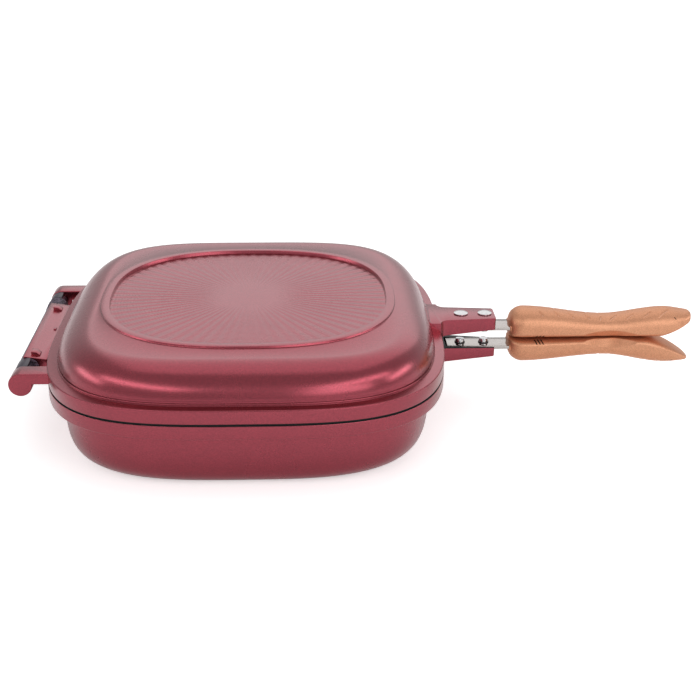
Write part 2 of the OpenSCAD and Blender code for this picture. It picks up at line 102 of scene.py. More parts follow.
class Wiring:
    """A short way to add and join shader nodes in one tree."""

    def __init__(self, tree: bpy.types.NodeTree) -> None:
        """Keeps the tree that the nodes go in.

        Args:
            tree: a material's or a group's node tree.
        """
        self.tree = tree

    def add(self, kind: str, **values: object) -> bpy.types.Node:
        """Adds a node.

        Args:
            kind: the node's full type name.
            **values: attributes of the node, such as operation.

        Returns:
            The new node.
        """
        node = self.tree.nodes.new(kind)
        for name, value in values.items():
            setattr(node, name, value)
        return node

    def feed(self, socket: Socket, value: Level) -> None:
        """Links a socket to another one, or sets it to a number.

        Args:
            socket: the input that is fed.
            value: an output, or a number.
        """
        if isinstance(value, bpy.types.NodeSocket):
            self.tree.links.new(value, socket)
        else:
            socket.default_value = value

    def maths(self, operation: str, a: Level, b: Level = 0.0) -> Socket:
        """Adds a Math node.

        Args:
            operation: the node's operation.
            a: the first input.
            b: the second input.

        Returns:
            The node's output.
        """
        node = self.add("ShaderNodeMath", operation=operation)
        self.feed(node.inputs[0], a)
        self.feed(node.inputs[1], b)
        return node.outputs[0]

    def noise(self, vector: Socket, scale: Level, detail: float = 2.0, rough: float = 0.5) -> Socket:
        """Adds a noise texture.

        Args:
            vector: where the texture is read.
            scale: how many spots there are in a metre.
            detail: how many finer layers it has.
            rough: how strong the finer layers are.

        Returns:
            The noise, from 0 to 1.
        """
        node = self.add("ShaderNodeTexNoise")
        self.feed(node.inputs["Vector"], vector)
        self.feed(node.inputs["Scale"], scale)
        node.inputs["Detail"].default_value = detail
        node.inputs["Roughness"].default_value = rough
        return node.outputs["Fac"]

    def spread(self, value: Socket, low: Level, high: Level) -> Socket:
        """Stretches a value so that low becomes 0 and high becomes 1, and cuts it off there.

        Args:
            value: the value to stretch.
            low: what becomes 0.
            high: what becomes 1.

        Returns:
            The stretched value.
        """
        node = self.add("ShaderNodeMapRange")
        self.feed(node.inputs["Value"], value)
        self.feed(node.inputs["From Min"], low)
        self.feed(node.inputs["From Max"], high)
        return node.outputs["Result"]

    def mix(self, factor: Socket, first: Sequence[float], second: Sequence[float]) -> Socket:
        """Mixes two colours.

        Args:
            factor: 0 for the first colour and 1 for the second.
            first: a colour.
            second: a colour.

        Returns:
            The mixed colour.
        """
        node = self.add("ShaderNodeMix", data_type="RGBA")
        self.feed(node.inputs[0], factor)
        node.inputs[6].default_value = (*first, 1.0)
        node.inputs[7].default_value = (*second, 1.0)
        return node.outputs[2]


class ShaderGroups:
    """The effects that more than one finish uses, each a node group that is built once."""

    def __init__(self) -> None:
        """Builds every group."""
        self.flakes = self.build_flakes()
        self.grain = self.build_grain()
        self.handling = self.build_handling()
        self.drawn = self.build_drawn()

    @staticmethod
    def start(name: str, inputs: dict[str, float], outputs: Sequence[str]) -> tuple:
        """Starts a group.

        Args:
            name: the group's name.
            inputs: each input's name and its usual value.
            outputs: the names of the outputs, each a number.

        Returns:
            The group, its wiring, its inputs by name, its output node and the place on the piece.
        """
        group = bpy.data.node_groups.new(name, "ShaderNodeTree")
        for title, value in inputs.items():
            socket = group.interface.new_socket(title, in_out="INPUT", socket_type="NodeSocketFloat")
            socket.default_value = value
        for title in outputs:
            group.interface.new_socket(title, in_out="OUTPUT", socket_type="NodeSocketFloat")
        wiring = Wiring(group)
        given = wiring.add("NodeGroupInput").outputs
        place = wiring.add("ShaderNodeTexCoord").outputs["Object"]
        return group, wiring, given, wiring.add("NodeGroupOutput").inputs, place

    def build_flakes(self) -> bpy.types.NodeTree:
        """Makes the metal flakes in a coating: small cells, each lighter or darker.

        Returns:
            The group, with a glint from 0 to 1.
        """
        group, w, given, out, place = self.start(
            "metal flakes", {"Scale": 2000.0, "Cloud Scale": 30.0, "Cloud Share": 0.2}, ["Glint"]
        )
        cells = w.add("ShaderNodeTexVoronoi")
        w.feed(cells.inputs["Vector"], place)
        w.feed(cells.inputs["Scale"], given["Scale"])
        split = w.add("ShaderNodeSeparateColor")
        w.feed(split.inputs["Color"], cells.outputs["Color"])
        cloud = w.noise(place, given["Cloud Scale"], 3.0)
        share = w.maths("MULTIPLY", cloud, given["Cloud Share"])
        rest = w.maths("SUBTRACT", 1.0, given["Cloud Share"])
        w.feed(out["Glint"], w.maths("ADD", w.maths("MULTIPLY", split.outputs["Red"], rest), share))
        return group

    def build_grain(self) -> bpy.types.NodeTree:
        """Makes the fine sprayed or cast grain of a surface.

        Returns:
            The group, with a height for a bump.
        """
        group, w, given, out, place = self.start(
            "surface grain", {"Scale": 900.0, "Swell Scale": 60.0, "Swell": 0.3}, ["Height"]
        )
        fine = w.noise(place, given["Scale"], 3.0, 0.6)
        swell = w.maths("MULTIPLY", w.noise(place, given["Swell Scale"], 2.0), given["Swell"])
        w.feed(out["Height"], w.maths("ADD", fine, swell))
        return group

    def build_handling(self) -> bpy.types.NodeTree:
        """Makes the marks of use: soft smears, which change how glossy a finish is.

        Returns:
            The group, with a smear mask from 0 to 1.
        """
        group, w, given, out, place = self.start(
            "marks of handling", {"Scale": 14.0, "Amount": 0.5}, ["Smear"]
        )
        broad = w.spread(w.noise(place, given["Scale"], 4.0, 0.6), 0.45, 0.7)
        w.feed(out["Smear"], w.maths("MULTIPLY", broad, given["Amount"]))
        return group

    def build_drawn(self) -> bpy.types.NodeTree:
        """Makes the fine lines of metal that was rolled or turned along one direction.

        Returns:
            The group, with a height for a bump.
        """
        group, w, given, out, place = self.start(
            "drawn lines", {"Along X": 40.0, "Along Y": 900.0, "Along Z": 900.0}, ["Height"]
        )
        stretch = w.add("ShaderNodeCombineXYZ")
        for name, title in (("X", "Along X"), ("Y", "Along Y"), ("Z", "Along Z")):
            w.feed(stretch.inputs[name], given[title])
        scaled = w.add("ShaderNodeVectorMath", operation="MULTIPLY")
        w.feed(scaled.inputs[0], place)
        w.feed(scaled.inputs[1], stretch.outputs["Vector"])
        w.feed(out["Height"], w.noise(scaled.outputs["Vector"], 1.0, 3.0, 0.6))
        return group


# ---- finishes -----------------------------------------------------------------------------


@dataclass(frozen=True)
class Finish:
    """A finish of one record slot: a Principled shader, fed by the shared groups."""

    slot: str
    low_colour: tuple[float, float, float]
    high_colour: tuple[float, float, float]
    metallic: float = 0.0
    rough_low: float = 0.35
    rough_high: float = 0.5
    flake_scale: float = 1800.0
    flake_cloud: float = 0.3
    grain_scale: float = 900.0
    grain_bump: float = 0.1
    grain_depth: float = 0.2
    drawn: Optional[tuple[float, float, float]] = None
    coat: float = 0.0
    coat_rough: float = 0.2
    coat_ior: float = 1.5
    smear: float = 0.4
    sheen_level: float = 0.5
    title: str = ""

    def material(self, groups: ShaderGroups) -> bpy.types.Material:
        """Builds the finish's material.

        Args:
            groups: the shared shader groups.

        Returns:
            The material.
        """
        material = bpy.data.materials.new(self.title or self.slot)
        material.use_nodes = True
        w = Wiring(material.node_tree)
        shader = material.node_tree.nodes["Principled BSDF"]
        flakes = self.place(w, groups.flakes, {"Scale": self.flake_scale, "Cloud Share": self.flake_cloud})
        w.feed(shader.inputs["Base Color"], w.mix(flakes["Glint"], self.low_colour, self.high_colour))
        smear = self.place(w, groups.handling, {"Amount": self.smear})["Smear"]
        rough = w.add("ShaderNodeMapRange")
        w.feed(rough.inputs["Value"], smear)
        rough.inputs["To Min"].default_value = self.rough_low
        rough.inputs["To Max"].default_value = self.rough_high
        w.feed(shader.inputs["Roughness"], rough.outputs["Result"])
        if self.drawn:
            along = dict(zip(("Along X", "Along Y", "Along Z"), self.drawn))
            height = self.place(w, groups.drawn, along)["Height"]
        else:
            height = self.place(w, groups.grain, {"Scale": self.grain_scale})["Height"]
        bump = w.add("ShaderNodeBump")
        bump.inputs["Strength"].default_value = self.grain_bump
        bump.inputs["Distance"].default_value = self.grain_depth * MM
        w.feed(bump.inputs["Height"], height)
        w.feed(shader.inputs["Normal"], bump.outputs["Normal"])
        shader.inputs["Metallic"].default_value = self.metallic
        shader.inputs["Specular IOR Level"].default_value = self.sheen_level
        shader.inputs["Coat Weight"].default_value = self.coat
        shader.inputs["Coat Roughness"].default_value = self.coat_rough
        shader.inputs["Coat IOR"].default_value = self.coat_ior
        return material

    @staticmethod
    def place(w: Wiring, group: bpy.types.NodeTree,
              values: dict[str, float]) -> bpy.types.bpy_prop_collection:
        """Places a shared group in the material.

        Args:
            w: the material's wiring.
            group: the shared group.
            values: this finish's own values for the group's inputs.

        Returns:
            The group's outputs.
        """
        node = w.add("ShaderNodeGroup", node_tree=group)
        for title, value in values.items():
            node.inputs[title].default_value = value
        return node.outputs


ROSE = Finish(
    slot="rose_coating", low_colour=(0.27, 0.034, 0.056), high_colour=(0.45, 0.056, 0.088),
    metallic=1.0, rough_low=0.26, rough_high=0.34, grain_bump=0.1, grain_depth=0.12, flake_scale=2200.0,
    coat=1.0, coat_rough=0.27, coat_ior=1.62,
)
NON_STICK = Finish(
    slot="rose_coating", title="non_stick", low_colour=(0.006, 0.006, 0.007),
    high_colour=(0.034, 0.035, 0.037), metallic=0.1, rough_low=0.42, rough_high=0.55,
    grain_bump=0.2, grain_depth=0.15, flake_scale=1100.0, flake_cloud=0.5,
)
RUBBER = Finish(
    slot="gasket_rubber", low_colour=(0.004, 0.004, 0.005), high_colour=(0.008, 0.008, 0.009),
    rough_low=0.5, rough_high=0.65, grain_bump=0.1,
)
STEEL = Finish(
    slot="tang_steel", low_colour=(0.50, 0.46, 0.44), high_colour=(0.64, 0.60, 0.58), metallic=1.0,
    rough_low=0.12, rough_high=0.22, drawn=(30.0, 1500.0, 1500.0), grain_bump=0.1, grain_depth=0.04,
)
RIVET = Finish(
    slot="rivet_steel", low_colour=(0.66, 0.66, 0.67), high_colour=(0.84, 0.84, 0.85), metallic=1.0,
    rough_low=0.08, rough_high=0.18, grain_bump=0.05, grain_depth=0.05,
)
PIN_STEEL = Finish(
    slot="pin_steel", low_colour=(0.4, 0.4, 0.41), high_colour=(0.6, 0.6, 0.61), metallic=1.0,
    rough_low=0.22, rough_high=0.35, drawn=(1500.0, 30.0, 1500.0), grain_bump=0.1, grain_depth=0.05,
)
SLEEVE = Finish(
    slot="sleeve_black", low_colour=(0.003, 0.002, 0.004), high_colour=(0.25, 0.19, 0.26),
    metallic=0.3, rough_low=0.35, rough_high=0.6, grain_scale=700.0, grain_bump=0.9, grain_depth=0.6,
    flake_scale=1000.0, flake_cloud=0.1,
)
SPACER = Finish(
    slot="spacer_plastic", low_colour=(0.052, 0.042, 0.056), high_colour=(0.094, 0.078, 0.102),
    rough_low=0.3, rough_high=0.42, grain_bump=0.05,
)
WASHER = Finish(
    slot="washer_dark", low_colour=(0.12, 0.12, 0.122), high_colour=(0.20, 0.20, 0.203), metallic=0.7,
    rough_low=0.35, rough_high=0.5, grain_bump=0.1,
)
COPPER = Finish(
    slot="copper_coating", low_colour=(0.60, 0.30, 0.18), high_colour=(0.86, 0.45, 0.28),
    metallic=0.7, rough_low=0.42, rough_high=0.5, grain_bump=0.1, grain_depth=0.12,
    flake_scale=2200.0,
)
# near black: the ink of the printed arrow marks, and painted shade for the small slot on the grip's tail
INK_AND_SLOT_SHADE = Finish(
    slot="copper_coating", title="mark_ink_and_slot_shade", low_colour=(0.004, 0.004, 0.004),
    high_colour=(0.010, 0.009, 0.009), rough_low=0.5, rough_high=0.6, grain_bump=0.02, sheen_level=0.1,
)
# painted highlight: a lighter copper laid in the grip's grooves where light catches them
GLINT = Finish(
    slot="copper_coating", title="painted_groove_highlight", low_colour=(0.86, 0.58, 0.42), high_colour=(0.98, 0.70, 0.54),
    metallic=0.5, rough_low=0.35, rough_high=0.45, grain_bump=0.05,
)
MAGNET = Finish(
    slot="magnet_nickel", low_colour=(0.45, 0.44, 0.42), high_colour=(0.6, 0.59, 0.57), metallic=1.0,
    rough_low=0.2, rough_high=0.3, grain_bump=0.03,
)


class Palette:
    """Builds each finish's material once and hands it out."""

    def __init__(self) -> None:
        """Builds the shared shader groups."""
        self.groups = ShaderGroups()
        self.made: dict[Finish, bpy.types.Material] = {}

    def get(self, finish: Finish) -> bpy.types.Material:
        """Gives a finish's material.

        Args:
            finish: the finish.

        Returns:
            Its material, built the first time it is asked for.
        """
        if finish not in self.made:
            self.made[finish] = finish.material(self.groups)
        return self.made[finish]


# ---- mesh helpers -------------------------------------------------------------------------


def arc(centre: Point2, radius: float, start: float, end: float, steps: int) -> list[Point2]:
    """Gives points along an arc, from one angle to another.

    Args:
        centre: the arc's centre.
        radius: its radius.
        start: the first angle in degrees.
        end: the last angle in degrees.
        steps: how many straight steps it takes.

    Returns:
        The points, both ends included.
    """
    points = []
    for k in range(steps + 1):
        angle = math.radians(start + (end - start) * k / steps)
        points.append((centre[0] + radius * math.cos(angle), centre[1] + radius * math.sin(angle)))
    return points


def circle(centre: Point2, radius: float, steps: int) -> list[Point2]:
    """Gives a full round of points, each one once."""
    return arc(centre, radius, 0, 360, steps)[:-1]


def ease(value: float) -> float:
    """Gives a smooth step from 0 to 1."""
    t = min(1.0, max(0.0, value))
    return t * t * (3 - 2 * t)


def power(value: float, exponent: float) -> float:
    """Raises a number's size to a power and keeps its sign."""
    return math.copysign(abs(value) ** exponent, value)


class Workshop:
    """Makes and dresses mesh objects from shapes given in millimetres."""

    edge_faces = 3

    def __init__(self, palette: Palette) -> None:
        """Keeps the palette.

        Args:
            palette: gives each finish's material.
        """
        self.palette = palette

    def build(self, name: str, points: Sequence[Point], faces: Sequence[Sequence[int]],
              finishes: Sequence[Finish], marks: Optional[Sequence[int]] = None) -> bpy.types.Object:
        """Makes an object from points and faces.

        Args:
            name: the piece's name.
            points: its points in millimetres.
            faces: its faces.
            finishes: its finishes, in the order of its material slots.
            marks: each face's material slot, or None where all take the first.

        Returns:
            The object, linked to the scene.
        """
        mesh = bpy.data.meshes.new(name)
        mesh.from_pydata([(x * MM, y * MM, z * MM) for x, y, z in points], [], faces)
        if marks:
            mesh.polygons.foreach_set("material_index", marks)
        piece = bpy.data.objects.new(name, mesh)
        bpy.context.scene.collection.objects.link(piece)
        for finish in finishes:
            mesh.materials.append(self.palette.get(finish))
        work = bmesh.new()
        work.from_mesh(mesh)
        bmesh.ops.recalc_face_normals(work, faces=work.faces)
        work.to_mesh(mesh)
        work.free()
        return piece

    def loft(self, name: str, rings: Sequence[Ring], finishes: Sequence[Finish],
             bands: Optional[Sequence[int]] = None, closed: bool = False) -> bpy.types.Object:
        """Joins rings of equal length into a closed skin.

        Args:
            name: the piece's name.
            rings: the rings in order.
            finishes: the piece's finishes.
            bands: the material slot of each band between two rings, or None.
            closed: whether the last ring joins the first, as on a hollow turned piece.

        Returns:
            The object. Where it isn't closed, each end gets a fan to its middle.
        """
        count = len(rings[0])
        points = [p for ring in rings for p in ring]
        faces, marks = [], []
        last = len(rings) if closed else len(rings) - 1
        for k in range(last):
            low, high = k * count, ((k + 1) % len(rings)) * count
            for i in range(count):
                j = (i + 1) % count
                faces.append((low + i, low + j, high + j, high + i))
                marks.append(bands[k] if bands else 0)
        if not closed:
            for ring, start, mark in ((rings[0], 0, 0), (rings[-1], (len(rings) - 1) * count, -1)):
                middle = tuple(sum(p[axis] for p in ring) / count for axis in range(3))
                points.append(middle)
                for i in range(count):
                    faces.append((start + i, start + (i + 1) % count, len(points) - 1))
                    marks.append(bands[mark] if bands else 0)
        return self.build(name, points, faces, finishes, marks)

    def prism(self, name: str, outline: Sequence[Point2], low: float, high: float, across: Axis,
              finishes: Sequence[Finish]) -> bpy.types.Object:
        """Extrudes an outline.

        Args:
            name: the piece's name.
            outline: its corners, as (x, y) for a prism along Z and (x, z) for one along Y.
            low: where the prism starts.
            high: where it ends.
            across: the direction that it is extruded along.
            finishes: its finishes.

        Returns:
            The object.
        """
        count = len(outline)
        points: list[Point] = []
        for level in (low, high):
            for u, v in outline:
                points.append((u, v, level) if across is Axis.Z else (u, level, v))
        faces = [tuple(range(count)), tuple(range(count, 2 * count))]
        faces += [(i, (i + 1) % count, count + (i + 1) % count, count + i) for i in range(count)]
        return self.build(name, points, faces, finishes)

    def turned(self, name: str, profile: Sequence[Point2], centre: Point, axis: Axis, finish: Finish,
               hollow: bool, steps: int = 64) -> bpy.types.Object:
        """Turns a profile about an axis.

        Args:
            name: the piece's name.
            profile: (radius, place along the axis) pairs.
            centre: the point that the places are counted from.
            axis: the axis that it is turned about.
            finish: its finish.
            hollow: whether the profile closes on itself instead of at the axis.
            steps: how many steps make the round.

        Returns:
            The object.
        """
        rings = []
        for radius, place in profile:
            ring = []
            for u, v in circle((0, 0), max(radius, TINY), steps):
                offset = (u, v, place) if axis is Axis.Z else (u, place, v)
                ring.append(tuple(c + o for c, o in zip(centre, offset)))
            rings.append(ring)
        return self.loft(name, rings, [finish], closed=hollow)

    @staticmethod
    def settle(piece: bpy.types.Object) -> None:
        """Applies a piece's modifiers to its mesh.

        Args:
            piece: the piece.
        """
        graph = bpy.context.evaluated_depsgraph_get()
        graph.update()
        done = bpy.data.meshes.new_from_object(piece.evaluated_get(graph))
        old = piece.data
        piece.modifiers.clear()
        piece.data = done
        name = old.name
        bpy.data.meshes.remove(old)
        done.name = name

    def combine(self, piece: bpy.types.Object, other: bpy.types.Object, operation: str) -> None:
        """Cuts, joins or intersects a piece with another one, which is used up.

        Args:
            piece: the piece that is kept.
            other: the one that is used up.
            operation: UNION, DIFFERENCE or INTERSECT.
        """
        change = piece.modifiers.new("combine", "BOOLEAN")
        change.operation = operation
        change.object = other
        change.solver = "EXACT"
        self.settle(piece)
        bpy.data.objects.remove(other)

    def cut(self, piece: bpy.types.Object, outline: Sequence[Point2], low: float, high: float, across: Axis,
            finish: Finish, operation: str = "DIFFERENCE") -> None:
        """Cuts an extruded outline out of a piece.

        Args:
            piece: the piece.
            outline: the opening's corners, as in prism.
            low: where the opening starts.
            high: where it ends.
            across: the direction that it runs along.
            finish: the finish of its walls.
            operation: INTERSECT where only what lies inside it is kept.
        """
        self.combine(piece, self.prism("cutter", outline, low, high, across, [finish]), operation)

    def soften(self, piece: bpy.types.Object, width: float, angle: float = 30.0) -> None:
        """Rounds a piece's sharp edges.

        Args:
            piece: the piece.
            width: the width of the rounding.
            angle: the least angle in degrees between two faces whose edge is rounded.
        """
        change = piece.modifiers.new("soften", "BEVEL")
        change.width = width * MM
        change.segments = self.edge_faces
        change.limit_method = "ANGLE"
        change.angle_limit = math.radians(angle)
        change.use_clamp_overlap = True
        self.settle(piece)

    @staticmethod
    def smooth(piece: bpy.types.Object, angle: float) -> None:
        """Shades a piece smooth, apart from its sharp edges.

        Args:
            piece: the piece.
            angle: the angle in degrees from which an edge stays sharp.
        """
        mesh = piece.data
        mesh.polygons.foreach_set("use_smooth", [True] * len(mesh.polygons))
        mesh.set_sharp_from_angle(angle=math.radians(angle))


class Registry:
    """Smooths, rides and reports the finished pieces."""

    @staticmethod
    def enter(piece: bpy.types.Object, body: str, slot: str, *nodes: str, sharp: float = 35.0) -> None:
        """Smooths a finished piece and enters it in the frame.

        Args:
            piece: the piece.
            body: the body that it rides on.
            slot: the record's slot that it takes its finish from; not used.
            *nodes: the CAD nodes that it stands for.
            sharp: the angle in degrees from which its edges stay sharp.
        """
        Workshop.smooth(piece, sharp)
        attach(piece, body)
        if nodes:
            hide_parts(*nodes)
        log.info("%s: %d faces, on %s, for %s", piece.name, len(piece.data.polygons), body,
                 ", ".join(nodes) or "no node")


# ---- the sizes that the pieces share --------------------------------------------------------


def node_box(node: str) -> tuple[Vector, Vector]:
    """Gives a CAD node's lowest and highest corners in millimetres."""
    low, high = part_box(node)
    return Vector(low) / MM, Vector(high) / MM


@dataclass
class Layout:
    """The frame's planes and places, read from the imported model."""

    seam_gap: float = 1.0
    rim_w: float = 288.0

    def __post_init__(self) -> None:
        """Reads the hinge axis and the rims from the frame."""
        place = frame["record"]["behaviour"]["joints"][0]["pos_m"]
        self.axis_x = place[0] / MM
        self.seam_z = place[2] / MM
        low, high = node_box("lower_pan")
        self.rim_d = high.y - low.y
        self.rivets = [self.middle_x("upper_inner_rivet"), self.middle_x("upper_outer_rivet")]

    @staticmethod
    def middle_x(node: str) -> float:
        """Gives the middle of a node's box along X."""
        low, high = node_box(node)
        return (low.x + high.x) / 2

    def height(self, half: Half, z: float) -> float:
        """Turns a height over a rim face into a height over the floor."""
        return self.seam_z + half.value * (self.seam_gap / 2 + z)


@dataclass
class RimShape:
    """The outline that both rims share, and how it is sampled."""

    width: float
    depth: float
    square: float = 3.4
    count: int = 288

    def outline(self, half_width: float, half_depth: float, square: float) -> list[Point2]:
        """Gives an outline between an ellipse and a rectangle.

        Args:
            half_width: its half size along X.
            half_depth: its half size along Y.
            square: its squareness, where 2 is an ellipse.

        Returns:
            Its points at even angles from the centre.
        """
        points = []
        for i in range(self.count):
            angle = 2 * math.pi * i / self.count
            c, s = math.cos(angle), math.sin(angle)
            reach = (abs(c / half_width) ** square + abs(s / half_depth) ** square) ** (-1 / square)
            points.append((reach * c, reach * s))
        return points

    def inset(self, inset: float, square: float) -> list[Point2]:
        """Gives the outline at an inset from the rim's half sizes."""
        return self.outline(self.width / 2 - inset, self.depth / 2 - inset, square)


@dataclass
class Wall:
    """A pan's curved wall: upright at its foot, then round into a flat level."""

    inset: float
    foot: float
    top: float
    draw: float
    curve: float
    foot_square: float
    end_square: float
    steps: int = 36

    def inner(self, thickness: float, level: float) -> "Wall":
        """Gives the wall's other side, at its thickness and that of its flat level."""
        return replace(self, inset=self.inset + thickness, top=self.top - level, draw=self.draw - thickness)

    def rings(self) -> list[Contour]:
        """Gives the wall's contours, from its foot to the flat level.

        Returns:
            The contours.
        """
        rings = []
        for k in range(self.steps + 1):
            turn = math.pi / 2 * k / self.steps
            drawn = 1 - max(0.0, math.cos(turn)) ** (2 / self.curve)
            rise = math.sin(turn) ** (2 / self.curve)
            rings.append((
                self.inset + self.draw * drawn,
                self.foot_square + (self.end_square - self.foot_square) * drawn,
                self.foot + (self.top - self.foot) * rise,
            ))
        return rings


@dataclass
class Part:
    """A sub-assembly: the workshop that makes its meshes, and the places that the frame gives it.

    Every size of a sub-assembly is in millimetres and every angle in degrees, unless it says otherwise.
    """

    shop: Workshop
    layout: Layout


@dataclass
class HalfPart(Part):
    """A sub-assembly of one pan, drawn as heights over that pan's rim face."""

    half: Half

    def z(self, height: float) -> float:
        """Turns a height over the rim face into a height over the floor."""
        return self.layout.height(self.half, height)


# ---- the pans -------------------------------------------------------------------------------


@dataclass
class Lug(HalfPart):
    """The channelled lug that a pan's steel tang is riveted in."""

    rim_x: float
    root_x: float
    length: float = 43.0
    root_w: float = 28.6
    width: float = 22.4
    height: float = 16.5
    drop: float = 0.0
    fillet: float = 7.0
    corner: float = 2.0
    skirt_root: float = 3.9
    skirt_end: float = 7.4
    channel_half: float = 9.6
    channel_start: float = 5.5
    ceiling: float = 8.3
    hole: float = 2.6
    spot: float = 6.0
    spot_h: float = 5.0
    spot_lift: float = 0.1
    blend: float = 3.0
    bite: float = 0.6
    edge: float = 0.9
    side_reach: float = 40.0
    coat_over: float = 0.2
    coat_turn: float = 0.7

    def plan(self) -> list[Point2]:
        """Gives the lug's outline in plan, with root fillets and round end corners.

        Returns:
            Its (x, y) corners.
        """
        half, root = self.width / 2, self.root_w / 2
        end = self.rim_x + self.length
        side = [(self.root_x, root + self.fillet)]
        side += arc((self.rim_x + self.fillet, root + self.fillet), self.fillet, 180, 270, 12)
        side += arc((end - self.corner, half - self.corner), self.corner, 90, 0, 8)
        return side + [(x, -y) for x, y in reversed(side)]

    def side_view(self) -> list[Point2]:
        """Gives the lug's outline from the side, as height over the rim face.

        Returns:
            Its (x, height) corners.
        """
        start, end = self.root_x - OVER, self.rim_x + self.length + OVER
        face = [(start, self.skirt_root), (self.rim_x + 1, self.skirt_root), (end, self.skirt_end),
                (end, self.height - self.drop)]
        if self.half is Half.LOWER:
            return face + [(self.rim_x, self.height), (start, self.height)]
        foot = self.root_x + self.bite
        rise = arc((foot + self.blend, self.height + self.blend), self.blend, 270, 180, 8)
        return face + rise + [(foot - OVER, self.height + self.blend), (start, self.height)]

    def make(self) -> bpy.types.Object:
        """Makes the lug.

        Returns:
            The lug, ready to be joined to its pan.
        """
        ends = sorted((self.z(0), self.z(self.height + self.blend + OVER)))
        lug = self.shop.prism("lug", self.plan(), *ends, Axis.Z, [ROSE, NON_STICK])
        side = [(x, self.z(height)) for x, height in self.side_view()]
        self.shop.cut(lug, side, -self.side_reach, self.side_reach, Axis.Y, ROSE, "INTERSECT")
        start, end = self.rim_x + self.channel_start, self.rim_x + self.length + OVER
        reach = self.channel_half
        trench = [(start, -reach), (end, -reach), (end, reach), (start, reach)]
        self.shop.cut(lug, trench, *sorted((self.z(-OVER), self.z(self.ceiling))), Axis.Z, ROSE)
        self.shop.soften(lug, self.edge)
        for x in self.layout.rivets:
            hole = circle((x, 0), self.hole, 32)
            self.shop.cut(lug, hole, ends[0] - OVER, ends[1] + OVER, Axis.Z, ROSE)
            if self.drop:
                flat = self.height - self.drop - self.spot_lift
                room = sorted((self.z(flat), self.z(self.height + self.spot_h)))
                self.shop.cut(lug, circle((x, 0), self.spot, 48), *room, Axis.Z, ROSE)
        self.coat(lug)
        return lug

    def coat(self, lug: bpy.types.Object) -> None:
        """Gives the channel and the mating faces the dark coating of the pan's inside.

        Args:
            lug: the lug.
        """
        inner = self.z(self.ceiling + self.coat_over) * MM
        for face in lug.data.polygons:
            inward = -self.half.value * face.normal.z
            inside = (inner - face.center.z) * self.half.value > 0
            within = abs(face.center.y) < (self.channel_half + self.coat_over) * MM
            started = face.center.x > (self.rim_x + 1) * MM
            if started and inside and (inward > self.coat_turn or within):
                face.material_index = 1


@dataclass
class Pan(HalfPart):
    """What the two pans share: a lofted casting with its rim face at the seam."""

    rim: RimShape
    wall_t: float = 3.0
    rim_t: float = 10.0
    edge: float = 0.8
    dark_bands: int = 4
    lug: dict[str, float] = field(default_factory=dict)
    fill: tuple[float, float] = (0.35, 0.7)

    def ring(self, outline: Sequence[Point2], z: float) -> Ring:
        """Places an outline at a height over the rim face."""
        level = self.z(z)
        return [(x, y, level) for x, y in outline]

    def corner(self, inset: float, square: float, z: float, start: float) -> list[Contour]:
        """Gives the contours round one of the rim's rounded edges.

        Args:
            inset: the inset of the rounding's centre.
            square: the outline's squareness.
            z: the height of the rounding's centre.
            start: the angle in degrees that it starts at; it runs back through 90 degrees.

        Returns:
            The contours.
        """
        return [(inset - u, square, z + v) for u, v in arc((0, 0), self.edge, start, start - 90, 5)]

    def rim_edges(self) -> list[Contour]:
        """Gives the rim's outer face between its two rounded edges."""
        square, e = self.rim.square, self.edge
        return self.corner(e, square, self.rim_t - e, 90) + self.corner(e, square, e, 0)

    def level(self, wall: Wall) -> list[Ring]:
        """Gives the rings inside a wall's flat level, from its middle outwards."""
        outline = self.rim.inset(*wall.rings()[-1][:2])
        return [self.ring([(x * s, y * s) for x, y in outline], wall.top) for s in self.fill]

    def cast(self, name: str, middle: Sequence[Ring], shown: Sequence[Contour], hidden: Sequence[Contour],
             inner: Wall) -> bpy.types.Object:
        """Lofts the casting with its lug, rose outside and dark inside.

        Args:
            name: the piece's name.
            middle: the rings of its outer face, inside the wall.
            shown: the contours of its outside, down to the seam; the last bands are dark already.
            hidden: the contours at the seam that lead to the inner wall.
            inner: its inner wall.

        Returns:
            The casting.
        """
        rings = [*middle]
        rings += [self.ring(self.rim.inset(i, n), z) for i, n, z in [*shown, *hidden, *inner.rings()]]
        rings += reversed(self.level(inner))
        rose = len(middle) + len(shown) - self.dark_bands
        bands = [0 if k < rose else 1 for k in range(len(rings) - 1)]
        pan = self.shop.loft(name, rings, [ROSE, NON_STICK], bands)
        rim_x = self.rim.width / 2
        lug = Lug(self.shop, self.layout, self.half, rim_x, rim_x - inner.inset + Lug.bite, **self.lug)
        self.shop.combine(pan, lug.make(), "UNION")
        return pan


@dataclass
class LowerPan(Pan):
    """The lower pan: its deep bowl, its lug and the hinge leaf."""

    height: float = 53.0
    floor_t: float = 4.5
    ledge: float = 11.6
    base_draw: float = 28.0
    base_curve: float = 3.7
    ledge_square: float = 3.9
    base_square: float = 2.4

    def make(self, leaf: "HingeLeaf") -> None:
        """Makes the lower pan and enters it.

        Args:
            leaf: the hinge leaf that is cast on it.
        """
        outer = Wall(self.ledge, self.rim_t, self.height, self.base_draw, self.base_curve,
                     self.ledge_square, self.base_square)
        inner = outer.inner(self.wall_t, self.floor_t)
        shown = [*reversed(outer.rings()), *self.rim_edges()]
        hidden = self.corner(inner.inset - self.edge, self.ledge_square, self.edge, 270)
        pan = self.cast("lower_pan_casting", self.level(outer), shown, hidden, inner)
        self.shop.combine(pan, leaf.make(), "UNION")
        Registry.enter(pan, self.half.body, ROSE.slot, "lower_pan")


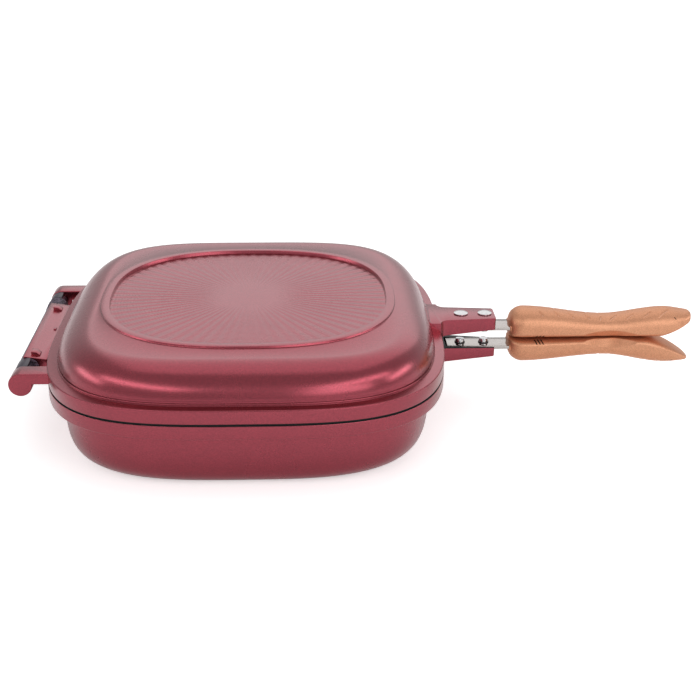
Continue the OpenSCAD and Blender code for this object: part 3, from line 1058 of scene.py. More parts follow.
@dataclass
class UpperPan(Pan):
    """The upper pan: flange, dome, raised ring, rayed panel, lug and the two hinge arms."""

    roof_z: float = 33.5
    roof_t: float = 4.0
    flange: float = 7.6
    dome_draw: float = 25.6
    dome_curve: float = 2.0
    roof_square: float = 4.3
    ring_side: float = 1.3
    ring_front: float = 16.8
    ring_square: float = 2.5
    ring_land: float = 6.4
    ring_rise: float = 1.5
    panel_drop: float = 2.6
    bead_h: float = 1.9
    bead_w: float = 0.8
    foot_rings: int = 3
    groove: tuple[float, float, float] = (4.5, 7.5, 2.8)
    rays: int = 72
    ray_rise: float = 0.3
    weave_rise: float = 0.12
    weave_count: int = 42
    panel_turns: int = 576
    panel_t: float = 0.5
    panel_seat: float = 0.6
    panel_edge: float = 0.99
    panel_run: float = 0.95
    ray_start: float = 0.12
    ray_fade: float = 0.3
    ray_full: float = 0.6

    def ring_sizes(self) -> tuple[float, float]:
        """Gives the raised ring's half width and half depth."""
        across = self.flange + self.dome_draw
        return (self.rim.width / 2 - across - self.ring_side, self.rim.depth / 2 - across - self.ring_front)

    def panel_z(self) -> float:
        """Gives the height of the panel inside the ring, over the rim face."""
        return self.roof_z + self.ring_rise - self.panel_drop

    def ring_rings(self) -> list[Ring]:
        """Gives the raised ring's own rings, from the panel's middle out to the roof.

        Returns:
            The rings.
        """
        a, b = self.ring_sizes()
        top = self.roof_z + self.ring_rise
        under = self.panel_z() - self.panel_seat
        land = self.ring_land
        steps = [(0.75 * a, under), (0.4 * a, under), (land + 0.6, under), (land + 0.6, self.panel_z()),
                 (land + 0.4, self.panel_z() + 0.5), (land + 0.1, top - 0.35), (land - 0.05, top - 0.08),
                 (land - 0.4, top), (0.8, top), (0.4, top - 0.1), (0.22, top - 0.4), (0.1, self.roof_z + 0.4),
                 (-0.1, self.roof_z + 0.1), (-0.4, self.roof_z)]
        return [self.ring(self.rim.outline(a - s, b - s, self.ring_square), z) for s, z in steps]

    def foot(self) -> list[Contour]:
        """Gives the small moulding round the foot of the dome.

        Returns:
            Its contours, from the dome down to the flange.
        """
        square = self.rim.square
        top = self.rim_t + self.bead_h
        out = self.flange - self.bead_w
        steps = [(self.flange, top + 0.5), (self.flange, top - 0.7), (self.flange - 0.25, top - 0.75),
                 (self.flange - 0.35, top - 0.1), (self.flange - 0.45, top), (out + 0.2, top - 0.1),
                 (out + 0.05, top - 0.35), (out, top - 0.7), (out, self.rim_t + 0.35),
                 (out - 0.1, self.rim_t + 0.08), (out - 0.4, self.rim_t)]
        return [(inset, square, z) for inset, z in steps]

    def make(self, arms: "HingeArms") -> None:
        """Makes the upper pan and its panel, and enters them.

        Args:
            arms: the hinge arms that are cast on it.
        """
        square = self.rim.square
        outer = Wall(self.flange, self.rim_t, self.roof_z, self.dome_draw, self.dome_curve, square,
                     self.roof_square)
        inner = outer.inner(self.wall_t, self.roof_t)
        shown = [*reversed(outer.rings()[self.foot_rings:]), *self.foot(), *self.rim_edges()]
        near, far, deep = self.groove
        hidden = [(near, square, 0), (near, square, deep), (far, square, deep), (far, square, 0)]
        hidden += self.corner(inner.inset - self.edge, square, self.edge, 270)
        pan = self.cast("upper_pan_casting", self.ring_rings(), shown, hidden, inner)
        for arm in arms.make():
            self.shop.combine(pan, arm, "UNION")
        Registry.enter(pan, self.half.body, ROSE.slot, "upper_pan")
        Registry.enter(self.panel(), self.half.body, ROSE.slot, "upper_pan", sharp=60)

    def panel(self) -> bpy.types.Object:
        """Makes the panel inside the raised ring: rays from its middle, crossed by fine rounds.

        Returns:
            The panel, a thin plate let into the casting.
        """
        a, b = self.ring_sizes()
        fine = RimShape(self.rim.width, self.rim.depth, self.rim.square, self.panel_turns)
        inset = self.ring_land + self.panel_t
        edge = fine.outline(a - inset, b - inset, self.ring_square)
        top, under = self.panel_z(), self.panel_z() - self.panel_t
        lead = ((0.5, under), (1, under), (1, top))
        rings = [self.ring([(x * share, y * share) for x, y in edge], z) for share, z in lead]
        steps = 4 * self.weave_count
        for k in range(steps + 1):
            share = self.panel_edge - self.panel_run * k / steps
            rings.append([self.relief(x, y, share, i / self.panel_turns, k) for i, (x, y) in enumerate(edge)])
        return self.shop.loft("upper_pan_panel", rings, [ROSE])

    def relief(self, x: float, y: float, share: float, turn: float, step: int) -> Point:
        """Gives a point of the panel's relief.

        Args:
            x: where the panel's edge is on this ray.
            y: where the panel's edge is on this ray.
            share: how far out the point is, where 1 is the edge.
            turn: the point's share of a full turn.
            step: the number of its round.

        Returns:
            The point.
        """
        crest = 0.5 + 0.5 * math.cos(2 * math.pi * turn * self.rays)
        weave = 0.5 + 0.5 * math.cos(math.pi * step / 2)
        fade = ease((share - self.ray_start) / self.ray_fade) * min(1.0, share / self.ray_full)
        rise = (self.ray_rise * (crest - 0.5) + self.weave_rise * (weave - 0.5)) * fade
        return (x * share, y * share, self.z(self.panel_z() + rise))


# ---- the hinge ------------------------------------------------------------------------------


@dataclass
class HingeArms(Part):
    """The two arms of the upper pan, each with a round knuckle on the hinge axis."""

    span: float = 188.0
    shift: float = 3.0
    width: float = 15.0
    radius: float = 8.3
    low: float = 0.5
    reach: float = 20.7
    bore: float = 3.02
    blind: float = 4.0
    edge: float = 1.0

    def outline(self) -> list[Point2]:
        """Gives an arm's outline from the side.

        Returns:
            Its (x, z) corners.
        """
        x, z = self.layout.axis_x, self.layout.seam_z
        meet = 360 + math.degrees(math.asin(self.low / self.radius))
        round_part = arc((x, z), self.radius, 90, meet, 60)
        return [(x + self.reach, z + self.low), (x + self.reach, z + self.radius), *round_part]

    def make(self) -> list[bpy.types.Object]:
        """Makes the arms.

        Returns:
            The front arm and the rear arm.
        """
        arms = []
        front = self.shift - self.span / 2
        rear = self.shift + self.span / 2 - self.width
        for name, start in (("front_arm", front), ("rear_arm", rear)):
            arm = self.shop.prism(name, self.outline(), start, start + self.width, Axis.Y, [ROSE, NON_STICK])
            self.shop.soften(arm, self.edge, angle=50)
            hole = circle((self.layout.axis_x, self.layout.seam_z), self.bore, 48)
            low = max(start - OVER, front + self.blind)
            self.shop.cut(arm, hole, low, start + self.width + OVER, Axis.Y, ROSE)
            arms.append(arm)
        return arms


@dataclass
class HingeLeaf(Part):
    """The leaf of the lower pan: a plate over a barrel that is open on its outer side."""

    start: float = -59.0
    end: float = 54.0
    radius: float = 8.6
    edge_x: float = -3.1
    bore: float = 7.65
    reach: float = 13.2
    brow: float = 1.7
    root: float = 19.0
    rim_t: float = 10.0
    step_down: float = 0.6
    under: float = 0.3
    open_from: float = 232.0
    shoulder: float = 6.2
    block: float = 7.0
    block_h: float = 2.0
    block_in: tuple[float, float] = (4.8, 15.5)
    nub: float = 4.0
    nub_in: float = 0.8
    edge: float = 0.2
    block_edge: float = 0.25
    nub_edge: float = 0.4

    def outline(self) -> list[Point2]:
        """Gives the leaf's outline from the side, about the hinge axis.

        Returns:
            Its (x, z) corners, counted from the axis.
        """
        outer = self.reach + self.brow
        top, bottom = -self.step_down, -self.rim_t - self.under
        meet = math.degrees(math.acos(self.edge_x / self.bore))
        shape = [(self.root, bottom), (self.root, top), (outer, top), (outer - 1.5, self.shoulder),
                 (self.edge_x, self.radius)]
        shape += arc((0, 0), self.bore, meet, self.open_from - 360, 64)
        shape += arc((0, 0), self.radius, self.open_from, 270, 12)
        shape += [(outer - 3, bottom)]
        return shape

    def place(self, outline: Iterable[Point2]) -> list[Point2]:
        """Moves an outline about the hinge axis to its place."""
        return [(self.layout.axis_x + x, self.layout.seam_z + z) for x, z in outline]

    def make(self) -> bpy.types.Object:
        """Makes the leaf.

        Returns:
            The leaf with its blocks, ready to be joined to the lower pan.
        """
        skins = [ROSE, NON_STICK]
        leaf = self.shop.prism("leaf", self.place(self.outline()), self.start, self.end, Axis.Y, skins)
        self.shop.soften(leaf, self.edge)
        top = self.radius - 0.2 + self.block_h
        block = [(1.6, self.bore), (1.4, top), (0.62 * self.radius, top - 0.7),
                 (0.92 * self.radius, self.radius - 0.8), (0.92 * self.radius, self.shoulder - 1)]
        for y in (self.start + self.block_in[0], self.end - self.block_in[1]):
            stop = self.shop.prism("stop", self.place(block), y, y + self.block, Axis.Y, skins)
            self.shop.soften(stop, self.block_edge)
            self.shop.combine(leaf, stop, "UNION")
        outer, low = self.reach - self.nub_in, self.shoulder
        small = [(outer - 4, low - 1), (outer - 4, low + 1.6), (outer - 2, low + 1.2), (outer - 2, low - 1)]
        nub = self.shop.prism("nub", self.place(small), -self.nub / 2, self.nub / 2, Axis.Y, skins)
        self.shop.soften(nub, self.nub_edge)
        self.shop.combine(leaf, nub, "UNION")
        return leaf


@dataclass
class HingeRow(Part):
    """What turns and sits on the hinge axis: the pin, the sleeve and the two spacers."""

    bore: float = 3.05
    edge: float = 0.6
    chamfer: float = 0.5
    sleeve_r: float = 7.6
    sleeve_edge: float = 0.4
    collar_gap: float = 0.2
    leaf_end: float = 54.0
    cut_r: float = 5.2
    cut_from: float = -62.0
    cut_to: float = 70.0
    ring_gap: float = 1.2
    collar_ring_gap: float = 0.45
    rough: float = 0.15
    collar_rough: float = 0.9
    rough_grain: float = 1.1

    def centre(self) -> Point:
        """Gives the point on the hinge axis in the middle of the pan."""
        return (self.layout.axis_x, 0.0, self.layout.seam_z)

    def sleeve(self) -> None:
        """Makes the rough dark sleeve with its collar."""
        low, high = node_box("hinge_sleeve")
        collar_r = (high.z - low.z) / 2
        start = self.leaf_end + self.collar_gap
        e = self.sleeve_edge
        profile = [(self.bore, low.y), (self.sleeve_r - e, low.y)]
        steps = int((start - low.y) / self.ring_gap)
        profile += [(self.sleeve_r, low.y + e + (start - low.y - e) * k / steps) for k in range(steps + 1)]
        profile += [(collar_r - 1.2, start), (collar_r - e, start + 0.1)]
        rounds = int((high.y - start - 1.2) / self.collar_ring_gap)
        profile += [(collar_r, start + 0.6 + (high.y - start - 1.2) * k / rounds) for k in range(rounds + 1)]
        profile += [(collar_r - e, high.y - 0.1), (collar_r - 1.2, high.y), (self.bore, high.y)]
        sleeve = self.shop.turned("hinge_sleeve_tube", profile, self.centre(), Axis.Y, SLEEVE, True, 128)
        for vertex in sleeve.data.vertices:
            x = vertex.co.x / MM - self.layout.axis_x
            z = vertex.co.z / MM - self.layout.seam_z
            reach = math.hypot(x, z)
            depth = self.collar_rough if reach > self.sleeve_r + 0.3 else self.rough
            if reach < self.sleeve_r - 0.2:
                continue
            push = 0.5 + 0.5 * noise.noise(vertex.co / MM * self.rough_grain)
            factor = 1 - depth * push / reach
            vertex.co.x = (self.layout.axis_x + x * factor) * MM
            vertex.co.z = (self.layout.seam_z + z * factor) * MM
        Registry.enter(sleeve, "lower", SLEEVE.slot, "hinge_sleeve", sharp=60)

    def spacer(self, node: str) -> None:
        """Makes a smooth spacer, cut away on its side towards the pans.

        Args:
            node: the CAD node.
        """
        low, high = node_box(node)
        radius = (high.z - low.z) / 2
        centre = (self.layout.axis_x, self.layout.seam_z)
        outline = arc(centre, radius, self.cut_to, 360 + self.cut_from, 64)
        outline += arc(centre, self.cut_r, self.cut_from, self.cut_to, 32)
        spacer = self.shop.prism(node + "_tube", outline, low.y, high.y, Axis.Y, [SPACER])
        self.shop.soften(spacer, self.edge, angle=50)
        hole = circle(centre, self.bore, 48)
        self.shop.cut(spacer, hole, low.y - OVER, high.y + OVER, Axis.Y, SPACER)
        Registry.enter(spacer, "lid", SPACER.slot, node)

    def pin(self) -> None:
        """Makes the hinge pin, with chamfered ends."""
        low, high = node_box("hinge_pin")
        radius = (high.z - low.z) / 2
        end_r = radius - self.chamfer
        profile = [(end_r, low.y), (radius, low.y + self.chamfer), (radius, high.y - self.chamfer),
                   (end_r, high.y)]
        pin = self.shop.turned("hinge_pin_rod", profile, self.centre(), Axis.Y, PIN_STEEL, False)
        Registry.enter(pin, "lid", PIN_STEEL.slot, "hinge_pin")

    def make(self) -> None:
        """Makes the whole row."""
        self.pin()
        self.sleeve()
        self.spacer("front_spacer")
        self.spacer("rear_spacer")


# ---- tangs, rivets and magnets --------------------------------------------------------------


@dataclass
class TangSet(HalfPart):
    """One pan's steel tang, with its two rivets and their washers."""

    hole: float = 2.6
    tail_r: float = 3.3
    tail_h: float = 2.6
    head_h: float = 2.2
    head_rim: float = 0.9
    undercut: float = 1.0
    dome_in: float = 0.1
    shank_r: float = 2.5
    corner: float = 1.2
    edge: float = 0.25
    washer_edge: float = 0.15

    def strip(self) -> None:
        """Makes the steel strip."""
        node = self.half.prefix + "_tang"
        low, high = node_box(node)
        r = self.corner
        corners = ((high.x - r, high.y - r, 90), (high.x - r, low.y + r, 0), (low.x + r, low.y + r, 270),
                   (low.x + r, high.y - r, 180))
        outline = [point for x, y, turn in corners for point in arc((x, y), r, turn, turn - 90, 4)]
        strip = self.shop.prism(node + "_strip", outline, low.z, high.z, Axis.Z, [STEEL])
        self.shop.soften(strip, self.edge)
        for x in self.layout.rivets:
            hole = circle((x, 0), self.hole, 40)
            self.shop.cut(strip, hole, low.z - OVER, high.z + OVER, Axis.Z, STEEL)
        Registry.enter(strip, self.half.body, STEEL.slot, node)

    def rivet(self, place: str) -> None:
        """Makes one rivet.

        Args:
            place: inner or outer.
        """
        node = f"{self.half.prefix}_{place}_rivet"
        low, high = node_box(node)
        up = self.half.value
        centre = (Layout.middle_x(node), 0.0, 0.0)
        foot, crown = (low.z, high.z) if up > 0 else (high.z, low.z)
        head_r = (high.x - low.x) / 2
        seat = crown - up * self.head_h
        crown_h = self.head_h - self.head_rim
        inner_r = head_r - self.dome_in
        ball = (inner_r ** 2 + crown_h ** 2) / (2 * crown_h)
        spread = math.degrees(math.asin(inner_r / ball))
        dome = [(r, crown + up * (z - ball)) for r, z in arc((0, 0), ball, 90 - spread, 90, 14)]
        t, h = self.tail_r, self.tail_h
        profile = [(0.0, foot), (t - 0.5, foot), (t - 0.15, foot + up * 0.12), (t, foot + up * 0.4),
                   (t, foot + up * h), (self.shank_r, foot + up * h), (self.shank_r, seat),
                   (head_r - self.undercut, seat), (head_r - self.undercut, seat + up * 0.5),
                   (head_r - 0.2, seat + up * 0.55), (head_r, seat + up * 0.7),
                   (head_r, seat + up * (self.head_rim - 0.05)), *dome]
        rivet = self.shop.turned(node + "_body", profile, centre, Axis.Z, RIVET, False)
        Registry.enter(rivet, self.half.body, RIVET.slot, node, sharp=40)

    def washer(self, place: str) -> None:
        """Makes the washer under a rivet's closed end.

        Args:
            place: inner or outer.
        """
        node = f"{self.half.prefix}_{place}_washer"
        low, high = node_box(node)
        outer, e = (high.x - low.x) / 2, self.washer_edge
        flat = [(self.hole, low.z), (outer - e, low.z), (outer, low.z + e), (outer, high.z - e),
                (outer - e, high.z), (self.hole, high.z)]
        centre = (Layout.middle_x(f"{self.half.prefix}_{place}_rivet"), 0.0, 0.0)
        washer = self.shop.turned(node + "_ring", flat, centre, Axis.Z, WASHER, True)
        Registry.enter(washer, self.half.body, WASHER.slot, node, sharp=40)

    def make(self) -> None:
        """Makes the strip, the rivets and the washers."""
        self.strip()
        for place in ("inner", "outer"):
            self.rivet(place)
            self.washer(place)


# ---- the grips ------------------------------------------------------------------------------


@dataclass
class Grip(HalfPart):
    """One moulded grip, drawn as sections along X over its mating face."""

    # the back's heights and half widths, and where along the grip they hold
    bulge_h: float = 21.4
    waist_h: float = 15.0
    tail_top: float = 20.2
    tail_drop: float = 2.4
    bulge_r: float = 15.0
    waist_r: float = 12.8
    tail_w: float = 14.6
    bulge_at: float = 11.0
    waist_at: float = 74.0
    tail_at: float = 120.0
    # how the front end and the tip round off
    nose_drop: float = 8.5
    nose_drop_len: float = 11.0
    nose_in: float = 6.4
    nose_in_len: float = 10.0
    nose_round: Point2 = (0.3, 3.2)
    tip_in: float = 10.0
    tip_len: float = 17.0
    tip_round: Point2 = (0.45, 2.6)
    # the finger scoops of the mating face, and its flare at the tail
    scoop_at: float = 78.0
    scoop_len: float = 60.0
    scoop_h: float = 6.4
    scoop_slope: float = 1.2
    scoop_power: float = 0.9
    ripple: float = 0.16
    ripple_waves: float = 3.5
    flare_h: float = 11.6
    flare_len: float = 24.0
    flare_power: float = 1.25
    # a section's widest level, as a share of its height, and its squareness above and below that
    belt: float = 0.28
    back_square: float = 2.4
    mating_square: float = 2.9
    # the slanting grooves, the lip, the marks with the slot's painted shade, and the painted highlights in
    # the grooves
    groove_depth: float = 0.7
    groove_w: float = 0.6
    lip: float = 0.8
    lip_at: float = 0.3
    lip_len: float = 9.0
    lip_edge: float = 0.6
    mark_w: float = 0.42
    slot_shade_w: float = 0.3
    glint_w: float = 0.2
    ribbon_lift: float = 0.07
    ribbon_sink: float = 0.1
    # two steps on the skin, along the grip and in radians, which show the way that it faces
    nearby: float = 0.1
    nearby_turn: float = 0.01
    carve_from: float = 0.2
    # how finely the skin is drawn
    around: int = 240
    sections: int = 300
    body_from: float = 15.0
    body_to: float = 9.0
    nose_sections: tuple[float, ...] = (0.0, 0.12, 0.4, 0.8, 1.3, 2.0, 2.8, 3.8, 5.0, 6.4, 8.0, 9.8, 11.6,
                                        13.4)
    tip_sections: tuple[float, ...] = (7.6, 6.2, 5, 4, 3.1, 2.3, 1.6, 1.0, 0.5, 0.15, 0)
    # the marks' places, their (length, angle, turn), the slot's painted shade with its place, and the grooves
    # in plan
    marks: tuple[float, ...] = (19.3, 21.8, 24.3)
    mark_run: tuple[float, float, float] = (1.6, 236.0, -38.0)
    slot_shade_run: tuple[float, float, float, float] = (125.6, 1.4, 138.0, 10.0)
    # where the painted groove highlights start and end, as shares of each groove: the first start on grooves
    # that slant back, the second on the others
    cut_from: Point2 = (0.1, 0.72)
    cut_to: float = 0.98
    glint_steps: int = 8
    mark_steps: int = 8
    slot_shade_steps: int = 4
    strokes: tuple[tuple[float, float, float, float], ...] = (
        (23.0, 6.2, 25.2, 10.3), (34.5, 4.0, 37.8, 9.1), (45.2, 3.6, 49.6, 8.5), (58.4, 2.5, 61.8, 7.5),
        (71.0, 4.3, 69.8, 8.0), (83.0, 2.8, 77.5, 8.0), (95.4, 4.6, 89.5, 9.0), (108.5, 5.6, 102.5, 9.6),
        (122.4, 4.2, 114.2, 11.0),
    )

    def __post_init__(self) -> None:
        """Reads the grip's start and length from its node."""
        self.node = self.half.prefix + "_grip"
        low, high = node_box(self.node)
        self.start = low.x
        self.length = high.x - low.x

    @staticmethod
    def along(pairs: Sequence[Point2], x: float) -> float:
        """Gives a value eased between (place, value) pairs.

        Args:
            pairs: the pairs, in the order of their places.
            x: the place that is asked for.

        Returns:
            The value there.
        """
        for (p, v), (q, w) in zip(pairs, pairs[1:]):
            if x <= q:
                return v + (w - v) * ease((x - p) / (q - p))
        return pairs[-1][1]

    @staticmethod
    def rounded(value: float, length: float) -> float:
        """Gives a quarter round: 0 at an end and 1 past a length."""
        t = min(1.0, max(0.0, value / length))
        return math.sqrt(1 - (1 - t) ** 2)

    def top(self, x: float) -> float:
        """Gives the height of the grip's back.

        Args:
            x: the distance from the grip's front end.

        Returns:
            The height over the mating face.
        """
        crown = self.along([(0, self.bulge_h - 1), (self.bulge_at, self.bulge_h),
                            (self.waist_at, self.waist_h), (self.tail_at, self.tail_top),
                            (self.length, self.tail_top - self.tail_drop)], x)
        return crown - self.nose_drop * (1 - self.rounded(x, self.nose_drop_len))

    def bottom(self, x: float) -> float:
        """Gives the height of the grip's inner face over its mating face."""
        into = max(0.0, (x - self.length + self.flare_len) / self.flare_len)
        return self.flare_h * into ** self.flare_power

    def scoop(self, x: float) -> float:
        """Gives the height of the finger scoops' outer edge over the mating face."""
        return self.scoop_h * math.sin(math.pi * self.into_scoop(x)) ** self.scoop_power

    def into_scoop(self, x: float) -> float:
        """Gives how far along the finger scoops a place is, from 0 to 1."""
        return min(1.0, max(0.0, (x - self.scoop_at + self.scoop_len / 2) / self.scoop_len))

    def side(self, x: float) -> float:
        """Gives the grip's half width.

        Args:
            x: the distance from the grip's front end.

        Returns:
            The half width.
        """
        side = self.along([(0, self.bulge_r - 1), (self.bulge_at, self.bulge_r),
                           (self.waist_at, self.waist_r), (self.tail_at, self.tail_w),
                           (self.length, self.tail_w - 1)], x)
        nose = self.nose_in * (1 - self.rounded(x, self.nose_in_len))
        tip = self.tip_in * (1 - self.rounded(self.length - x, self.tip_len))
        return side - nose - tip

    def shrink(self, x: float) -> float:
        """Gives how far a section is drawn in, for the rounded ends.

        Args:
            x: the distance from the grip's front end.

        Returns:
            The share of its size that the section keeps.
        """
        nose, nose_len = self.nose_round
        tip, tip_len = self.tip_round
        return 1 - nose * (1 - self.rounded(x, nose_len)) - tip * (1 - self.rounded(self.length - x, tip_len))

    def carve(self, x: float, y: float) -> float:
        """Gives the depth of the slanting grooves on the back of the grip at a place.

        Args:
            x: the distance from the grip's front end.
            y: the distance from its middle line.

        Returns:
            The depth, 0 away from the grooves.
        """
        depth = 0.0
        out = abs(y)
        for x0, y0, x1, y1 in self.strokes:
            run, rise = x1 - x0, y1 - y0
            t = min(1.0, max(0.0, ((x - x0) * run + (out - y0) * rise) / (run * run + rise * rise)))
            gap = math.hypot(x - x0 - t * run, out - y0 - t * rise)
            depth = max(depth, self.groove_depth * math.exp(-((gap / self.groove_w) ** 2)))
        return depth

    def skin(self, x: float, angle: float) -> Point:
        """Gives a point of the grip's skin.

        Args:
            x: the distance from the grip's front end.
            angle: the angle round the section, in radians.

        Returns:
            The point, as x and y with the height over the mating face.
        """
        top, bottom, half = self.top(x), self.bottom(x), self.side(x)
        belt = bottom + self.belt * (top - bottom)
        c, s = math.cos(angle), math.sin(angle)
        n = 2 / (self.back_square if s >= 0 else self.mating_square)
        drawn = self.shrink(x)
        y = half * power(c, n) * drawn
        z = belt + ((top - belt) if s >= 0 else (belt - bottom)) * power(s, n) * drawn
        ripples = 1 + self.ripple * math.sin(self.ripple_waves * math.pi * self.into_scoop(x)) ** 2
        z = max(z, self.scoop(x) - self.scoop_slope * ripples * (half - abs(y)))
        if s > self.carve_from:
            z -= self.carve(x, y)
        return (x, y, z)

    def place(self, point: Point) -> Point:
        """Moves a point from the mating face to its place over the floor."""
        return (self.start + point[0], point[1], self.z(point[2]))

    def make(self) -> None:
        """Makes the grip and its marks."""
        first, last = self.body_from, self.length - self.body_to
        places = [*self.nose_sections]
        places += [first + (last - first) * k / self.sections for k in range(self.sections + 1)]
        places += [self.length - d for d in self.tip_sections]
        turns = [2 * math.pi * i / self.around for i in range(self.around)]
        rings = [[self.place(self.skin(x, turn)) for turn in turns] for x in places]
        grip = self.shop.loft(self.node + "_moulding", rings, [COPPER])
        Registry.enter(grip, self.half.body, COPPER.slot, self.node, sharp=60)
        self.mouth()
        self.chevrons()
        self.glints()

    def mouth(self) -> None:
        """Makes the lip of the grip's front end, which closes round the tang."""
        low, high = node_box(self.half.prefix + "_tang")
        reach = high.y + self.lip
        front, back = self.start + self.lip_at, self.start + self.lip_len
        outline = [(front, -reach), (back, -reach), (back, reach), (front, reach)]
        name = self.node + "_mouth"
        lip = self.shop.prism(name, outline, low.z - self.lip, high.z + self.lip, Axis.Z, [COPPER])
        self.shop.soften(lip, self.lip_edge)
        front, back = self.start - OVER, self.start + self.lip_len + OVER
        hole = [(front, low.y), (back, low.y), (back, high.y), (front, high.y)]
        self.shop.cut(lip, hole, low.z, high.z, Axis.Z, COPPER)
        Registry.enter(lip, self.half.body, COPPER.slot, self.node)

    def chevrons(self) -> None:
        """Makes the grip's strokes of the arrow marks at the parting, and a black stroke of painted shade for
        the small slot on its tail.
        """
        for k, x in enumerate(self.marks):
            self.ribbon(f"mark_{k + 1}", self.slant(x, *self.mark_run, self.mark_steps), self.mark_w, INK_AND_SLOT_SHADE)
        # the slot is a black stroke on the skin: painted shade of its recess, which is not cut
        self.ribbon("slot", self.slant(*self.slot_shade_run, self.slot_shade_steps), self.slot_shade_w, INK_AND_SLOT_SHADE)

    @staticmethod
    def slant(x: float, length: float, start: float, turn: float, steps: int) -> list[Point2]:
        """Gives a slanting path round the grip.

        Args:
            x: its start, as a distance along the grip.
            length: how far along the grip it runs.
            start: its first angle round the section, in degrees.
            turn: how far it turns round the section, in degrees.
            steps: how many steps it takes.

        Returns:
            Its (distance along the grip, angle in radians) pairs.
        """
        return [(x + length * j / steps, math.radians(start + turn * j / steps)) for j in range(steps + 1)]

    def glints(self) -> None:
        """Makes the painted highlights of the slanting grooves: light copper strokes along the groove floors,
        over most of each groove that slants back and only near the end of the others.
        """
        for k, (x0, y0, x1, y1) in enumerate(self.strokes):
            first = self.cut_from[0] if x1 < x0 else self.cut_from[1]
            path = []
            for j in range(self.glint_steps + 1):
                share = first + (self.cut_to - first) * j / self.glint_steps
                x = x0 + share * (x1 - x0)
                reach = (y0 + share * (y1 - y0)) / (self.side(x) * self.shrink(x))
                path.append((x, math.acos(min(1.0, reach) ** (self.back_square / 2))))
            for side in ("near", "far"):
                turned = [(x, math.pi - a) if side == "near" else (x, a) for x, a in path]
                self.ribbon(f"glint_{k + 1}_{side}", turned, self.glint_w, GLINT)

    def ribbon(self, name: str, path: Sequence[Point2], width: float, finish: Finish) -> None:
        """Makes a thin stroke that lies on the skin, and enters it.

        Args:
            name: the last part of the stroke's name.
            path: its (distance along the grip, angle round the section) pairs.
            width: half of its width along the grip.
            finish: the stroke's finish.
        """
        up, down = self.ribbon_lift, -self.ribbon_sink
        rings = []
        for x, angle in path:
            ring = []
            for shift, lift in ((-width, up), (width, up), (width, down), (-width, down)):
                here = Vector(self.skin(x + shift, angle))
                along = Vector(self.skin(x + shift + self.nearby, angle)) - here
                round_it = Vector(self.skin(x + shift, angle + self.nearby_turn)) - here
                out = round_it.cross(along).normalized()
                ring.append(self.place(tuple(here + out * lift)))
            rings.append(ring)
        stroke = self.shop.loft(f"{self.node}_{name}", rings, [finish])
        Registry.enter(stroke, self.half.body, finish.slot, self.node)


# ---- the studio -----------------------------------------------------------------------------


@dataclass(frozen=True)
class Lamp:
    """A soft box light; its place, target and size are in metres."""

    name: str
    place: Point
    target: Point
    size: Point2
    watts: float

    def hang(self) -> None:
        """Hangs the light at its place, facing its target."""
        data = bpy.data.lights.new(self.name, "AREA")
        data.shape = "RECTANGLE"
        data.size, data.size_y = self.size
        data.energy = self.watts
        light = bpy.data.objects.new(self.name, data)
        bpy.context.scene.collection.objects.link(light)
        light.location = self.place
        light.rotation_euler = (Vector(self.place) - Vector(self.target)).to_track_quat("Z", "Y").to_euler()


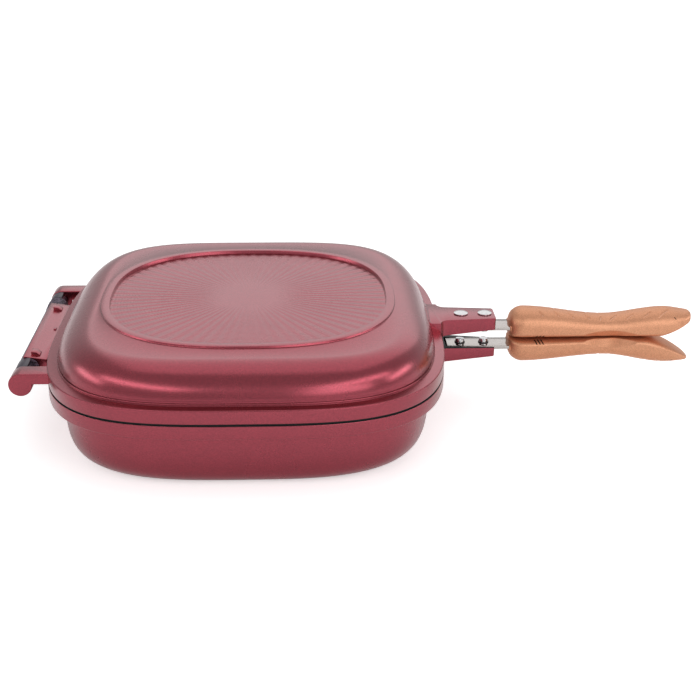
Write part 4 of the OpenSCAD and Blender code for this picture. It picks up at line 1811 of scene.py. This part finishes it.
@dataclass(frozen=True)
class Studio:
    """Camera, soft lights and floor. Angles are in degrees and lengths in metres."""

    azimuth: float = -2.43
    elevation: float = 22.10
    roll: float = 0.43
    distance: float = 0.9914
    aim: Point = (0.0765, 0.0, 0.0411)
    focal: float = 65.99
    floor_size: float = 9.0
    sensor: float = 36.0
    floor_glow: float = 0.45
    floor_grey: float = 0.9
    floor_given: float = 0.2
    sky: float = 0.42
    lamps: tuple[Lamp, ...] = (
        Lamp("overhead_behind", (0.32, 1.29, 1.98), (0.1, 0.0, 0.07), (2.6, 4.1), 15.0),
        Lamp("strip_left", (-0.84, -0.98, 0.90), (-0.03, -0.1, 0.07), (1.5, 0.26), 2.4),
        Lamp("strip_right", (0.84, -0.94, 0.90), (0.05, -0.1, 0.07), (1.5, 0.26), 2.1),
        Lamp("edge_left", (-1.42, -0.15, 0.47), (-0.08, -0.1, 0.07), (1.0, 0.26), 1.6),
        Lamp("edge_right", (1.48, -0.15, 0.50), (0.08, -0.1, 0.07), (1.0, 0.28), 1.8),
        Lamp("front_right", (0.62, -1.15, 0.45), (0.24, 0.0, 0.05), (0.9, 0.4), 1.4),
    )

    def camera(self) -> None:
        """Places the camera at the photograph's viewing angle."""
        az, el, roll = (math.radians(v) for v in (self.azimuth, self.elevation, self.roll))
        back = Vector((math.sin(az) * math.cos(el), -math.cos(az) * math.cos(el), math.sin(el)))
        right = (-back).cross(Vector((0, 0, 1))).normalized()
        up = right.cross(-back)
        across = right * math.cos(roll) + up * math.sin(roll)
        above = up * math.cos(roll) - right * math.sin(roll)
        data = bpy.data.cameras.new("camera")
        data.lens = self.focal
        data.sensor_width = self.sensor
        data.clip_start = 0.01
        camera = bpy.data.objects.new("camera", data)
        bpy.context.scene.collection.objects.link(camera)
        turn = Matrix((across, above, back)).transposed().to_4x4()
        camera.matrix_world = Matrix.Translation(Vector(self.aim) + back * self.distance) @ turn
        bpy.context.scene.camera = camera

    def lights(self) -> None:
        """Hangs the soft lights and sets the even light all round."""
        for lamp in self.lamps:
            lamp.hang()
        world = bpy.data.worlds.new("even light")
        world.use_nodes = True
        background = world.node_tree.nodes["Background"]
        background.inputs["Color"].default_value = (1.0, 1.0, 1.0, 1.0)
        background.inputs["Strength"].default_value = self.sky
        bpy.context.scene.world = world

    def floor(self) -> None:
        """Lays the pale floor, which looks lighter to the camera than the light that it gives back."""
        size = self.floor_size / 2
        mesh = bpy.data.meshes.new("floor")
        mesh.from_pydata([(-size, -size, 0), (size, -size, 0), (size, size, 0), (-size, size, 0)], [],
                         [(0, 1, 2, 3)])
        floor = bpy.data.objects.new("floor", mesh)
        bpy.context.scene.collection.objects.link(floor)
        material = bpy.data.materials.new("pale floor")
        material.use_nodes = True
        w = Wiring(material.node_tree)
        shader = material.node_tree.nodes["Principled BSDF"]
        shader.inputs["Base Color"].default_value = (*[self.floor_grey] * 3, 1.0)
        shader.inputs["Roughness"].default_value = 0.9
        seen = w.add("ShaderNodeLightPath").outputs["Is Camera Ray"]
        w.feed(shader.inputs["Emission Color"], w.mix(seen, [self.floor_given] * 3, [1.0] * 3))
        shader.inputs["Emission Strength"].default_value = self.floor_glow
        mesh.materials.append(material)

    def set_up(self) -> None:
        """Sets up the camera, the lights and the floor."""
        bpy.context.scene.view_settings.view_transform = "Standard"
        bpy.context.scene.view_settings.look = "Medium High Contrast"
        self.camera()
        self.lights()
        self.floor()


# ---- building -------------------------------------------------------------------------------


def dress_node(palette: Palette, node: str, finish: Finish) -> None:
    """Gives a CAD node that stays in view its finish.

    Args:
        palette: gives the material.
        node: the node's name.
        finish: its finish.
    """
    for slot in frame["nodes"][node].material_slots:
        slot.material = palette.get(finish)
    log.info("%s: keeps its CAD shape", node)


def main() -> None:
    """Builds the pan's pieces in order and sets up the studio."""
    logging.basicConfig(level=logging.INFO, format="%(name)s: %(message)s")
    layout = Layout()
    palette = Palette()
    shop = Workshop(palette)
    rim = RimShape(layout.rim_w, layout.rim_d)
    Studio().set_up()
    lower_lug = {"drop": 3.2, "skirt_root": 5.3, "skirt_end": 6.7}
    LowerPan(shop, layout, Half.LOWER, rim, lug=lower_lug).make(HingeLeaf(shop, layout))
    UpperPan(shop, layout, Half.UPPER, rim).make(HingeArms(shop, layout))
    HingeRow(shop, layout).make()
    grips = (Grip(shop, layout, Half.UPPER),
             Grip(shop, layout, Half.LOWER, bulge_h=19.9, tail_top=21.3, tail_drop=1.4, flare_h=17.2,
                  flare_len=37.0, flare_power=1.55))
    for grip in grips:
        TangSet(shop, layout, grip.half).make()
        grip.make()
        dress_node(palette, grip.half.prefix + "_magnet", MAGNET)
    dress_node(palette, "rim_gasket", RUBBER)


if __name__ == "__main__":
    main()
